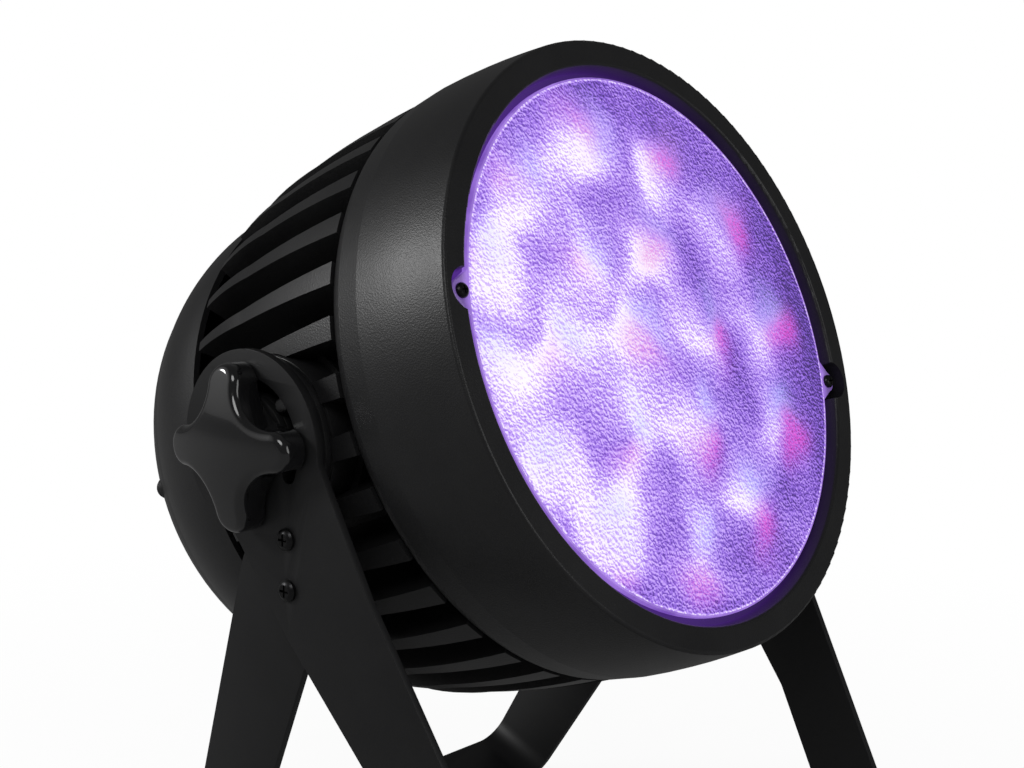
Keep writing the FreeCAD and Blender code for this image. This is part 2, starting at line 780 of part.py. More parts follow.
def board_standoffs():
    """Four posts carry the driver board, four more below it carry the supply."""
    x = number("size.standoff_x")
    y = number("size.standoff_y")
    upper = ring("upper_standoff_master",
                 tube_points("size.m3_r", "size.standoff_r", "0", "size.driver_drop"))
    long = DRIVER_Z + " - size.board_thick - " + SUPPLY_Z
    lower = ring("lower_standoff_master", tube_points("size.m3_r", "size.standoff_r", "0", long))
    doc.recompute()
    solids = []
    for master, z in ((upper, DRIVER_Z), (lower, SUPPLY_Z)):
        for place in corner_places(x, y, number(z)):
            solid = master.Shape.copy()
            solid.Placement = place
            solids.append(solid)
    node = doc.addObject("Part::Feature", "board_standoffs")
    node.Shape = Part.makeCompound(solids)
    node.Placement = head_place()
    return keep(node, "board_standoffs")


def driver_board():
    """Board with chips and chokes on its rear face."""
    body = new_body("driver_board")
    low = "(" + DRIVER_Z + " - size.board_thick)"
    plate = new_sketch(body, "XY_Plane", low)
    rectangle(plate, "-size.driver_x / 2", "-size.driver_y / 2", "size.driver_x / 2",
              "size.driver_y / 2")
    pad(body, plate, "size.board_thick")
    chips = new_sketch(body, "XY_Plane", low + " - size.chip_height")
    for share in (-1, 0, 1):
        middle = "size.chip_side * 2 * %d" % share
        rectangle(chips, middle + " - size.chip_side / 2", "-size.chip_side",
                  middle + " + size.chip_side / 2", "0")
    pad(body, chips, "size.chip_height + size.board_thick / 2")
    chokes = new_sketch(body, "XY_Plane", low + " - size.choke_height")
    for share in (-1.5, -0.5, 0.5, 1.5):
        circle(chokes, "size.choke_r * 3 * %.1f" % share, "size.choke_r * 2", "size.choke_r")
    pad(body, chokes, "size.choke_height + size.board_thick / 2")
    return keep(in_head(body), "driver_board")


def power_supply():
    """Sheet-metal box with chamfered edges."""
    body = new_body("power_supply")
    base = new_sketch(body, "XY_Plane", SUPPLY_Z + " - size.supply_z")
    x = "(size.supply_x / 2)"
    y = "(size.supply_y / 2)"
    edge = "size.supply_edge"
    outline(base, [
        ("-%s + %s" % (x, edge), "-" + y), ("%s - %s" % (x, edge), "-" + y),
        (x, "-%s + %s" % (y, edge)), (x, "%s - %s" % (y, edge)),
        ("%s - %s" % (x, edge), y), ("-%s + %s" % (x, edge), y),
        ("-" + x, "%s - %s" % (y, edge)), ("-" + x, "-%s + %s" % (y, edge)),
    ])
    pad(body, base, "size.supply_z")
    return keep(in_head(body), "power_supply")


def lead_along(label, points):
    """A round lead along straight runs joined by tangent arcs."""
    radius = number("size.lead_r")
    edges = []
    last = points[0]
    for before, corner, after in zip(points, points[1:], points[2:]):
        into = (corner - before).normalize()
        out = (after - corner).normalize()
        half_turn = into.getAngle(out) / 2
        run = min((corner - before).Length, (after - corner).Length)
        reach = 0.45 * run
        bend = reach / math.tan(half_turn)
        start = corner - into * reach
        end = corner + out * reach
        centre_way = (out - into).normalize()
        middle = corner + centre_way * (bend / math.cos(half_turn) - bend)
        edges.append(Part.LineSegment(last, start).toShape())
        edges.append(Part.Arc(start, middle, end).toShape())
        last = end
    edges.append(Part.LineSegment(last, points[-1]).toShape())
    path = Part.Wire(edges)
    start_way = points[1] - points[0]
    section = Part.Wire([Part.makeCircle(radius, points[0], start_way)])
    node = doc.addObject("Part::Feature", label)
    node.Shape = path.makePipeShell([section], True, False)
    node.Placement = head_place()
    return keep(node, label)


def led_lead():
    """From the driver board through the front plate to the LED board."""
    y = number("size.lead_hole_y")
    start_y = number("size.driver_y") / 2
    low = number(DRIVER_Z)
    high = number(BOARD_Z)
    rise = high - low
    step = y - start_y
    return lead_along("led_lead", [
        Vector(0, start_y - step / 2, low),
        Vector(0, start_y - step / 2, low + rise * 0.2),
        Vector(0, y, low + rise * 0.45),
        Vector(0, y, high),
    ])


def power_lead():
    """From the back of the power inlet to the supply."""
    x = -1.5 * number("size.socket_pitch")
    y = -number("size.socket_at_y")
    low = number(PANEL_Z) + number("size.socket_depth")
    high = number(SUPPLY_Z) - number("size.supply_z")
    rise = high - low
    return lead_along("power_lead", [
        Vector(x, y, low),
        Vector(x, y, low + rise * 0.3),
        Vector(x * 0.6, y * 0.4, low + rise * 0.7),
        Vector(x * 0.6, y * 0.4, high),
    ])


# Rear cap and panel

def rear_cap():
    """Smooth bowl with an inner skirt that seals on the housing and four screw posts."""
    body = new_body("rear_cap")
    wall = "size.cap_wall"
    panel_seat = "(" + PANEL_Z + " + size.panel_thick)"
    skirt_front = "(-size.housing_rear_z - size.seal_thick)"
    turn(body, [
        ("size.panel_r + size.fit_gap", PANEL_Z),
        ("size.cap_rear_r", PANEL_Z),
        ("size.cap_shoulder_r", "-size.cap_shoulder_z", "size.cap_rear_bow", 1),
        ("size.cap_waist_r", "-size.cap_waist_z", "size.cap_shoulder_bow", 1),
        ("size.cap_front_r", "-size.cap_front_z", "size.cap_side_bow", 1),
        ("size.cap_front_r - " + wall, "-size.cap_front_z"),
        ("size.cap_waist_r - " + wall, "-size.cap_waist_z + " + wall + " / 2",
         "size.cap_side_bow - " + wall, -1),
        ("size.skirt_r", "-size.cap_shoulder_z + " + wall + " * 1.5",
         "size.cap_shoulder_bow - " + wall, -1),
        ("size.skirt_r", skirt_front),
        ("size.skirt_r - size.skirt_wall", skirt_front),
        ("size.skirt_r - size.skirt_wall", "-size.cap_shoulder_z + " + wall),
        ("size.cap_rear_r", panel_seat + " + " + wall),
        ("size.panel_r - size.panel_ledge", panel_seat + " + " + wall),
        ("size.panel_r - size.panel_ledge", panel_seat),
        ("size.panel_r + size.fit_gap", panel_seat),
    ])
    front = "(-size.housing_rear_z - size.fit_gap)"
    posts = new_sketch(body, "XY_Plane", "-size.post_seat_z")
    circle(posts, "0", "size.post_ring_r", "size.post_r")
    around(body, pad(body, posts, "size.post_seat_z + " + front), 4)
    seats = new_sketch(body, "XY_Plane", "-size.cap_rear_z")
    circle(seats, "0", "size.post_ring_r", "size.post_r")
    around(body, cut(body, seats, "size.cap_rear_z - size.post_seat_z"), 4)
    holes = new_sketch(body, "XY_Plane", "-size.cap_rear_z")
    circle(holes, "0", "size.post_ring_r", "size.m4_r + size.through_gap")
    around(body, cut(body, holes, "size.cap_rear_z"), 4)
    eye_seat = new_sketch(body, "XY_Plane", "-size.cap_rear_z", "size.eye_angle")
    circle(eye_seat, "0", "size.eye_at_r", "size.eye_seat_r")
    cut(body, eye_seat, "size.cap_rear_z - " + EYE_Z)
    eye_hole = new_sketch(body, "XY_Plane", "-size.cap_rear_z", "size.eye_angle")
    circle(eye_hole, "0", "size.eye_at_r", "size.m4_r + size.thread_gap")
    cut(body, eye_hole, "size.cap_rear_z / 4")
    screws = new_sketch(body, "XY_Plane", PANEL_Z, "45")
    circle(screws, "0", "size.panel_screw_ring_r", "size.m2_r + size.thread_gap")
    around(body, cut(body, screws, "(size.panel_thick + size.cap_wall) * 2"), 4)
    return keep(in_head(body), "rear_cap")


EYE_Z = "((size.cap_shoulder_z + size.cap_rear_z) / 2)"


def cap_gasket():
    rear = "(-size.housing_rear_z - size.seal_thick)"
    body = ring("cap_gasket", tube_points("size.skirt_r - size.skirt_wall", "size.skirt_r - size.fit_gap",
                                          rear, "-size.housing_rear_z"))
    return keep(in_head(body), "cap_gasket")


def cap_screws():
    length = "(size.post_seat_z - size.housing_rear_z + size.post_bite - size.overrun)"
    master = pan_screw("cap_screw_master", "size.m4_r", "size.m4_head_r", "size.m4_head", length)
    places = ring_places(number("size.post_ring_r"), -number("size.post_seat_z"), 4, flip=True)
    return placed_group("cap_screws", master, places)


def safety_eye():
    """Ring bolt for the safety cable, screwed into the shoulder of the cap."""
    body = new_body("safety_eye")
    centre_z = "(-" + EYE_Z + " - size.eye_neck - size.eye_ring_r)"
    loop = new_sketch(body, "YZ_Plane")
    circle(loop, "size.eye_at_r", centre_z, "size.eye_ring_r")
    circle(loop, "size.eye_at_r", centre_z, "size.eye_ring_r - size.eye_wire_r * 2")
    pad(body, loop, "size.eye_wire_r * 2", SideType="Symmetric")
    collar = new_sketch(body, "XY_Plane", "-" + EYE_Z + " - size.eye_neck - size.eye_wire_r")
    circle(collar, "0", "size.eye_at_r", "size.eye_seat_r - size.overrun")
    pad(body, collar, "size.eye_neck + size.eye_wire_r")
    shaft = new_sketch(body, "XY_Plane", "-" + EYE_Z + " - size.eye_wire_r")
    circle(shaft, "0", "size.eye_at_r", "size.m4_r")
    pad(body, shaft, "size.eye_wire_r + size.cap_wall * 2")
    round_beam = Rotation(Vector(0, 0, 1), number("size.eye_angle"))
    body.Placement = head_place().multiply(Placement(Vector(), round_beam))
    return keep(body, "safety_eye")


def button_places():
    return [(index - 1.5) for index in range(4)]


def rear_panel():
    """Flat plate with openings for the display, the buttons, the sockets and the vent."""
    body = new_body("rear_panel")
    turn(body, [("0", PANEL_Z), ("size.panel_r", PANEL_Z),
                ("size.panel_r", PANEL_Z + " + size.panel_thick"),
                ("0", PANEL_Z + " + size.panel_thick")])
    holes = new_sketch(body, "XY_Plane", PANEL_Z + " - size.overrun")
    x = "(size.window_x / 2)"
    rectangle(holes, "-" + x, "size.window_at_y - size.window_y / 2", x,
              "size.window_at_y + size.window_y / 2")
    for share in button_places():
        circle(holes, "size.button_pitch * %.1f" % share, "size.button_at_y",
               "size.button_r + size.button_gap")
        circle(holes, "size.socket_pitch * %.1f" % share, "-size.socket_at_y",
               "size.socket_r + size.through_gap")
    circle(holes, "0", "-size.vent_at_y", "size.vent_r + size.thread_gap")
    cut(body, holes, "size.panel_thick + size.overrun * 2")
    screws = new_sketch(body, "XY_Plane", PANEL_Z + " - size.overrun", "45")
    circle(screws, "0", "size.panel_screw_ring_r", "size.m2_r + size.through_gap")
    around(body, cut(body, screws, "size.panel_thick + size.overrun * 2"), 4)
    return keep(in_head(body), "rear_panel")


def panel_screws():
    length = "(size.panel_thick + size.cap_wall)"
    master = pan_screw("panel_screw_master", "size.m2_r", "size.m2_head_r", "size.m2_head", length)
    places = ring_places(number("size.panel_screw_ring_r"), number(PANEL_Z), 4, 45.0, flip=True)
    return placed_group("panel_screws", master, places)


def display_window():
    """Clear window seated flush in the panel."""
    body = new_body("display_window")
    base = new_sketch(body, "XY_Plane", PANEL_Z)
    x = "(size.window_x / 2 - size.button_gap / 2)"
    y = "(size.window_y / 2 - size.button_gap / 2)"
    rectangle(base, "-" + x, "size.window_at_y - " + y, x, "size.window_at_y + " + y)
    pad(body, base, "size.window_thick")
    return keep(in_head(body), "display_window")


BUTTON_BACK_Z = "(" + PANEL_Z + " + size.panel_thick + size.fit_gap / 2)"
BOARD_FACE_Z = ("(" + BUTTON_BACK_Z + " + size.button_flange + size.button_travel"
                " + size.overrun)")


def display_board():
    """Board behind the panel: it carries the display and one switch for each button."""
    body = new_body("display_board")
    base = new_sketch(body, "XY_Plane", BOARD_FACE_Z)
    x = "(size.panel_board_x / 2)"
    low = "(size.window_at_y - size.panel_board_y * 0.72)"
    high = "(size.window_at_y + size.panel_board_y * 0.28)"
    corner = "(size.panel_board_x / 4)"
    outline(base, [("-" + x, low), (x, low), (x, high + " - " + corner), (corner, high),
                   ("-" + corner, high), ("-" + x, high + " - " + corner)])
    pad(body, base, "size.board_thick")
    screen = new_sketch(body, "XY_Plane", PANEL_Z + " + size.window_thick")
    sx = "(size.window_x / 2 - size.button_gap * 2)"
    sy = "(size.window_y / 2 - size.button_gap * 2)"
    rectangle(screen, "-" + sx, "size.window_at_y - " + sy, sx, "size.window_at_y + " + sy)
    pad(body, screen, BOARD_FACE_Z + " - " + PANEL_Z + " - size.window_thick + size.board_thick / 2")
    switches = new_sketch(body, "XY_Plane",
                          BUTTON_BACK_Z + " + size.button_flange + size.button_travel + size.fit_gap")
    half = "(size.switch_side / 2)"
    for share in button_places():
        middle = "(size.button_pitch * %.1f)" % share
        rectangle(switches, middle + " - " + half, "size.button_at_y - " + half,
                  middle + " + " + half, "size.button_at_y + " + half)
    pad(body, switches, "size.overrun - size.fit_gap + size.board_thick / 2")
    return keep(in_head(body), "display_board")


def menu_buttons():
    """Four round caps with a flange behind the panel; each travels towards the board."""
    names = ("menu_button", "down_button", "up_button", "enter_button")
    for name, share in zip(names, button_places()):
        body = new_body(name)
        x = "size.button_pitch * %.1f" % share
        cap = new_sketch(body, "XY_Plane", PANEL_Z + " - size.button_out")
        circle(cap, x, "size.button_at_y", "size.button_r")
        pad(body, cap, "size.button_out + size.panel_thick + size.fit_gap + size.button_flange / 2")
        flange = new_sketch(body, "XY_Plane", BUTTON_BACK_Z)
        circle(flange, x, "size.button_at_y", "size.button_r + size.button_flange")
        pad(body, flange, "size.button_flange")
        keep(in_head(body), name)


def socket(name, share):
    """Round chassis socket: a flange on the panel, a barrel behind it and a blind bore."""
    body = new_body(name)
    x = "size.socket_pitch * %.1f" % share
    flange = new_sketch(body, "XY_Plane", PANEL_Z + " - size.socket_flange")
    circle(flange, x, "-size.socket_at_y", "size.socket_flange_r")
    pad(body, flange, "size.socket_flange")
    barrel = new_sketch(body, "XY_Plane", PANEL_Z + " - size.socket_flange / 2")
    circle(barrel, x, "-size.socket_at_y", "size.socket_r")
    pad(body, barrel, "size.socket_depth + size.socket_flange / 2")
    bore = new_sketch(body, "XY_Plane", PANEL_Z + " - size.socket_flange - size.overrun")
    circle(bore, x, "-size.socket_at_y", "size.socket_bore_r")
    cut(body, bore, "size.socket_bore + size.overrun")
    return keep(in_head(body), name)


def contact_pins(name, share):
    """Three solder pins behind a socket."""
    master = new_body(name + "_master")
    sketch = new_sketch(master, "XY_Plane")
    circle(sketch, "0", "0", "size.contact_r")
    pad(master, sketch, "size.contact_len")
    middle = Vector(number("size.socket_pitch") * share, -number("size.socket_at_y"), 0)
    low = number(PANEL_Z) + number("size.socket_depth")
    places = [Placement(middle + head_point(number("size.contact_ring_r"), angle, low), Rotation())
              for angle in (60, 180, 300)]
    return placed_group(name, master, places)


def vent_plug():
    body = ring("vent_plug", [
        ("0", "-size.vent_head"),
        ("size.vent_head_r * 0.8", "-size.vent_head"),
        ("size.vent_head_r", "-size.vent_head * 0.5", "size.vent_head_r * 0.4", 1),
        ("size.vent_head_r", "0"),
        ("size.vent_r", "0"),
        ("size.vent_r", "size.panel_thick * 2"),
        ("0", "size.panel_thick * 2"),
    ])
    place = Placement(Vector(0, -number("size.vent_at_y"), number(PANEL_Z)), Rotation())
    body.Placement = head_place().multiply(place)
    return keep(body, "vent_plug")


# Pivot

SIDES = (("left", -1), ("right", 1))
REAR_PLATE_IN = "(size.front_plate_x - 2 * size.plate_thick)"
WASHER_IN = "(" + REAR_PLATE_IN + " - size.hub_clear - size.washer_thick)"


def outward(side):
    """Turns a piece made along Z to point outwards on one side, with its Y kept upright."""
    return Rotation(Vector(0, 1, 0), 90 * side)


def pivot_piece(name, side, points):
    """A turned piece on the tilt axis, made along Z from the middle of the light outwards."""
    body = ring(name, points)
    body.Placement = head_place().multiply(Placement(Vector(), outward(side)))
    return keep(body, name)


def pivot_hub(name, side):
    """Cup on the housing pad: a rim for the washer, a core for the stud and a hollow between."""
    floor = "(size.hub_pad_x + size.hub_base)"
    core = "(" + REAR_PLATE_IN + " - size.hub_clear)"
    ring_in = "(" + WASHER_IN + " - size.hub_thrust)"
    groove_r = "(size.hub_r - size.hub_groove)"
    pivot_piece(name, side, [
        ("size.stud_r + size.stud_gap", "size.hub_pad_x"),
        ("size.hub_r", "size.hub_pad_x"),
        ("size.hub_r", ring_in + " - size.hub_groove"),
        (groove_r, ring_in + " - size.hub_groove"),
        (groove_r, ring_in),
        ("size.hub_r", ring_in),
        ("size.hub_r", WASHER_IN),
        ("size.hub_r - size.hub_rim", WASHER_IN),
        ("size.hub_r - size.hub_rim", floor),
        ("size.hub_core_r", floor),
        ("size.hub_core_r", core),
        ("size.stud_r + size.stud_gap", core),
    ])


def friction_washer(name, side):
    outer = REAR_PLATE_IN + " - size.hub_clear"
    pivot_piece(name, side, tube_points("size.hub_r - size.hub_rim", "size.hub_r - size.hub_groove",
                                        WASHER_IN, outer))


def pivot_stud(name, side):
    """Threaded stud with its head inside the housing wall."""
    end = "(size.front_plate_x + size.stud_out)"
    seat = "(sqrt(" + INNER_R + " ^ 2 - size.stud_head_r ^ 2))"
    pivot_piece(name, side, [
        ("0", seat + " - size.stud_head"),
        ("size.stud_head_r", seat + " - size.stud_head"),
        ("size.stud_head_r", seat),
        ("size.stud_r", seat),
        ("size.stud_r", end + " - size.overrun / 2"),
        ("size.stud_r - size.overrun / 2", end),
        ("0", end),
    ])


def stop_pin(name, side):
    """Pin of the hub that runs in the arc slots of the brackets."""
    end = "(size.front_plate_x - size.stop_short)"
    body = ring(name, [
        ("0", "size.hub_pad_x + size.hub_base"),
        ("size.stop_pin_r", "size.hub_pad_x + size.hub_base"),
        ("size.stop_pin_r", end + " - size.overrun / 4"),
        ("size.stop_pin_r - size.overrun / 4", end),
        ("0", end),
    ])
    angle = math.radians(number("size.stop_at"))
    reach = number("size.slot_ring_r")
    place = Vector(0, -reach * math.sin(angle), reach * math.cos(angle))
    base = Vector(0, number(PIVOT_Y), number("size.pivot_height"))
    body.Placement = Placement(base + place, Rotation(Vector(0, 1, 0), 90 * side))
    return keep(body, name)


# Brackets

def bracket_blank(body, outer_x, depth, reach, lean, lean_v):
    """A bent strip in the XZ plane: plates that lean in below their bend line, and a crossbar."""
    sketch = new_sketch(body, "XZ_Plane")
    thick = "size.plate_thick"
    low = "(-%s)" % depth
    bend = "size.bend_inner_r"
    outer_bend = "(%s + %s)" % (bend, thick)
    inner_x = "(%s - %s)" % (outer_x, thick)
    centre_z = "(%s + %s)" % (low, outer_bend)
    run = "(%s - %s - %s)" % (depth, lean_v, outer_bend)
    centre_x = "(%s - %s * tan(%s) - %s / cos(%s))" % (outer_x, run, lean, outer_bend, lean)
    inner_kink = "(-%s + %s * tan(%s / 2))" % (lean_v, thick, lean)

    def touch(radius):
        return ("(%s + %s * cos(%s))" % (centre_x, radius, lean),
                "(%s - %s * sin(%s))" % (centre_z, radius, lean))

    outer_touch = touch(outer_bend)
    inner_touch = touch(bend)
    outline(sketch, [
        ("-" + outer_x, reach),
        ("-" + outer_x, "-" + lean_v),
        ("-" + outer_touch[0], outer_touch[1]),
        ("-" + centre_x, low, outer_bend, 1),
        (centre_x, low),
        outer_touch + (outer_bend, 1),
        (outer_x, "-" + lean_v),
        (outer_x, reach),
        (inner_x, reach),
        (inner_x, inner_kink),
        inner_touch,
        (centre_x, low + " + " + thick, bend, -1),
        ("-" + centre_x, low + " + " + thick),
        ("-" + inner_touch[0], inner_touch[1], bend, -1),
        ("-" + inner_x, inner_kink),
        ("-" + inner_x, reach),
    ])
    pad(body, sketch, "4 * " + reach, SideType="Symmetric")


def trim_side(body, reach, depth, points):
    """Cuts away everything outside the side outline."""
    sketch = new_sketch(body, "YZ_Plane")
    far = "(3 * " + reach + ")"
    rectangle(sketch, "-" + far, "-" + depth + " - size.overrun", far, reach + " + size.overrun")
    outline(sketch, points)
    cut_through(body, sketch)


def slot_cut(body, offset):
    """The arc slot round the pivot hole; offset turns world angles into bracket angles."""
    middle = "size.slot_ring_r"
    half = "(size.slot_width / 2)"
    first = "(size.slot_from + %s)" % offset
    last = "(size.slot_to + %s)" % offset

    def at(radius, angle):
        return ("-%s * sin(%s)" % (radius, angle), "%s * cos(%s)" % (radius, angle))

    outer = "(%s + %s)" % (middle, half)
    inner = "(%s - %s)" % (middle, half)
    sector = new_sketch(body, "YZ_Plane")
    outline(sector, [
        at(outer, first),
        at(outer, last) + (outer, 1),
        at(inner, last),
        at(inner, first) + (inner, -1),
    ])
    cut_through(body, sector)
    ends = new_sketch(body, "YZ_Plane")
    circle(ends, *at(middle, first), half)
    circle(ends, *at(middle, last), half)
    cut_through(body, ends)


def bracket_holes(body, tilt):
    """Pivot hole and the two joining screw holes; tilt is the bracket's own turn about X."""
    holes = new_sketch(body, "YZ_Plane")
    circle(holes, "0", "0", "size.stud_r + size.stud_gap")
    for y, z in (("size.upper_screw_y", "size.upper_screw_z"),
                 ("size.lower_screw_y", "size.lower_screw_z")):
        along = "(-%s * cos(%s) - %s * sin(%s))" % (y, tilt, z, tilt)
        up = "(%s * sin(%s) - %s * cos(%s))" % (y, tilt, z, tilt)
        circle(holes, along, up, "size.m4_r + size.thread_gap")
    cut_through(body, holes)


def clamp_hole(body, depth, middle):
    sketch = new_sketch(body, "XY_Plane", "-" + depth + " - size.overrun")
    circle(sketch, "0", middle, "size.clamp_hole_r")
    cut(body, sketch, "size.plate_thick + size.overrun * 2")


def in_stand(body, turned):
    body.Placement = Placement(Vector(), Rotation(Vector(1, 0, 0), 1))
    body.setExpression("Placement.Rotation.Angle", turned)
    body.setExpression("Placement.Base.y", PIVOT_Y)
    body.setExpression("Placement.Base.z", "size.pivot_height")
    return body


def front_bracket():
    """Outer U: disc head, tapering legs that lean forwards and a crossbar."""
    body = new_body("front_bracket")
    disc = "size.front_disc_r"
    bracket_blank(body, "size.front_plate_x", FRONT_DEPTH, disc, "size.front_lean", "size.front_lean_v")
    front_v = "(sqrt(%s ^ 2 - size.front_edge_u ^ 2))" % disc
    rear_v = "(sqrt(%s ^ 2 - size.front_neck_u ^ 2))" % disc
    deep = "(-%s - size.overrun / 2)" % FRONT_DEPTH
    trim_side(body, disc, FRONT_DEPTH + " + size.overrun", [
        ("size.front_neck_u", "-" + rear_v),
        (disc, "0", disc, 1),
        ("0", disc, disc, 1),
        ("-" + disc, "0", disc, 1),
        ("-size.front_edge_u", "-" + front_v, disc, 1),
        ("-size.front_leg_front", deep),
        ("size.front_leg_rear", deep),
        ("size.front_leg_rear", "-size.front_taper_end"),
    ])
    slot_cut(body, "size.front_splay")
    bracket_holes(body, "-size.front_splay")
    clamp_hole(body, FRONT_DEPTH, "(size.front_leg_rear - size.front_leg_front) / 2")
    return keep(in_stand(body, "-size.front_splay"), "front_bracket")


def rear_bracket():
    """Inner U behind the front one: its hip is screwed to the front plates."""
    body = new_body("rear_bracket")
    disc = "size.rear_disc_r"
    outer_x = "(size.front_plate_x - size.plate_thick)"
    bracket_blank(body, outer_x, REAR_DEPTH, disc, "size.rear_lean", "size.rear_lean_v")
    neck_v = "(sqrt(%s ^ 2 - size.rear_leg_rear ^ 2))" % disc
    deep = "(-%s - size.overrun / 2)" % REAR_DEPTH
    trim_side(body, disc, REAR_DEPTH + " + size.overrun", [
        ("-size.rear_leg_rear", "-" + neck_v),
        (disc, "0", disc, 1),
        ("0", disc, disc, 1),
        ("-" + disc, "0", disc, 1),
        ("-size.rear_hip_u", "-size.rear_hip_v"),
        ("-size.rear_leg_front", "-" + REAR_DEPTH),
        ("-size.rear_leg_front", deep),
        ("-size.rear_leg_rear", deep),
    ])
    slot_cut(body, "-size.rear_splay")
    bracket_holes(body, "size.rear_splay")
    clamp_hole(body, REAR_DEPTH, "-(size.rear_leg_front + size.rear_leg_rear) / 2")
    return keep(in_stand(body, "size.rear_splay"), "rear_bracket")


def bracket_fixings():
    """Two pan screws a side from outside, and their nuts on the inner face."""
    screw = pan_screw("bracket_screw_master", "size.m4_r", "size.m4_head_r",
                      "size.bracket_screw_head", "(size.plate_thick * 2 + size.bracket_nut)")
    nut = new_body("bracket_nut_master")
    flats = new_sketch(nut, "XY_Plane")
    side = "(size.bracket_nut_r / 2)"
    half = "(size.bracket_nut_r * sqrt(3) / 2)"
    outline(flats, [("size.bracket_nut_r", "0"), (side, half), ("-" + side, half),
                    ("-size.bracket_nut_r", "0"), ("-" + side, "-" + half), (side, "-" + half)])
    pad(nut, flats, "size.bracket_nut")
    bore = new_sketch(nut, "XY_Plane", "-size.overrun")
    circle(bore, "0", "0", "size.m4_r + size.thread_gap")
    cut(nut, bore, "size.bracket_nut + size.overrun * 2")
    base = Vector(0, number(PIVOT_Y), number("size.pivot_height"))
    screws = []
    nuts = []
    for _, side_sign in SIDES:
        facing = Rotation(Vector(0, 1, 0), 90 * side_sign)
        for y, z in (("size.upper_screw_y", "size.upper_screw_z"),
                     ("size.lower_screw_y", "size.lower_screw_z")):
            spot = base + Vector(0, -number(y), -number(z))
            outer = Vector(side_sign * number("size.front_plate_x"), 0, 0)
            inner = Vector(side_sign * number(REAR_PLATE_IN + " - size.bracket_nut"), 0, 0)
            screws.append(Placement(spot + outer, facing))
            nuts.append(Placement(spot + inner, facing))
    keep(group("bracket_screws", screw, screws), "bracket_screws")
    keep(group("bracket_nuts", nut, nuts), "bracket_nuts")


# Knobs

def knob(name, side):
    """Four-lobe knob: round lobe tips joined by hollow flanks, a domed face, a blind bore."""
    body = new_body(name)
    lobe = "(size.knob_r - size.knob_lobe_r)"
    step = "(size.knob_lobe_r - size.knob_waist_r)"
    hollow = "((%s ^ 2 - %s ^ 2) / (sqrt(2) * %s + 2 * %s))" % (lobe, step, lobe, step)
    flank = "(%s - size.knob_waist_r)" % hollow
    diagonal = "(%s / sqrt(2))" % hollow
    span = "(%s + size.knob_lobe_r)" % flank
    near = "(%s + size.knob_lobe_r * (%s - %s) / %s)" % (lobe, diagonal, lobe, span)
    wide = "(size.knob_lobe_r * %s / %s)" % (diagonal, span)
    tip = "size.knob_r"
    corners = []
    for x, y, tip_x, tip_y, x2, y2 in (
            (near, "-" + wide, tip, "0", near, wide),
            (wide, near, "0", tip, "-" + wide, near),
            ("-" + near, wide, "-" + tip, "0", "-" + near, "-" + wide),
            ("-" + wide, "-" + near, "0", "-" + tip, wide, "-" + near)):
        corners.append((x, y, flank, -1))
        corners.append((tip_x, tip_y, "size.knob_lobe_r", 1))
        corners.append((x2, y2, "size.knob_lobe_r", 1))
    sketch = new_sketch(body, "XY_Plane")
    outline(sketch, corners)
    pad(body, sketch, "size.knob_crown_z")
    rise = "(size.knob_crown_z - size.knob_lobe_z)"
    dome = "((size.knob_r ^ 2 + %s ^ 2) / (2 * %s))" % (rise, rise)
    turn(body, [
        ("0", "size.knob_crown_z + size.overrun"),
        ("0", "size.knob_crown_z"),
        ("size.knob_r", "size.knob_lobe_z", dome, -1),
        ("size.knob_r + size.overrun", "size.knob_lobe_z"),
        ("size.knob_r + size.overrun", "size.knob_crown_z + size.overrun"),
    ], "Groove")
    doc.recompute()
    low = number("size.knob_lobe_z") * 0.9
    high = number("size.knob_crown_z") * 0.99
    edges = [("Edge%d" % (index + 1)) for index, edge in enumerate(body.Shape.Edges)
             if edge.BoundBox.ZMin > low and edge.BoundBox.ZMax < high]
    domed = body.Tip
    rounding = body.newObject("PartDesign::Fillet", name + "_rounding")
    rounding.Base = (domed, edges)
    rounding.setExpression("Radius", "size.knob_round")
    doc.recompute()
    bore = new_sketch(body, "XY_Plane", "-size.overrun")
    circle(bore, "0", "0", "size.insert_r")
    cut(body, bore, "size.insert_len + size.overrun")
    place_on_side(body, side, "size.front_plate_x + size.knob_washer")
    return keep(body, name)


def place_on_side(body, side, reach):
    """Places a piece made along Z on the tilt axis, pointing outwards, tip lobe upright."""
    spin = Rotation(Vector(0, 0, 1), 90 - side * number("size.knob_turn"))
    body.Placement = Placement(Vector(), Rotation(Vector(0, 1, 0), 90 * side).multiply(spin))
    body.setExpression("Placement.Base.x", "%d * (%s)" % (side, reach))
    body.setExpression("Placement.Base.y", PIVOT_Y)
    body.setExpression("Placement.Base.z", "size.pivot_height")


def knob_insert(name, side):
    """Brass bush with the thread, pressed into the knob."""
    body = ring(name, tube_points("size.stud_r + size.stud_gap", "size.insert_r",
                                  "0", "size.insert_len"))
    place_on_side(body, side, "size.front_plate_x + size.knob_washer")
    return keep(body, name)


def knob_washer(name, side):
    body = ring(name, tube_points("size.stud_r + size.stud_gap", "size.knob_washer_r",
                                  "0", "size.knob_washer"))
    place_on_side(body, side, "size.front_plate_x")
    return keep(body, name)


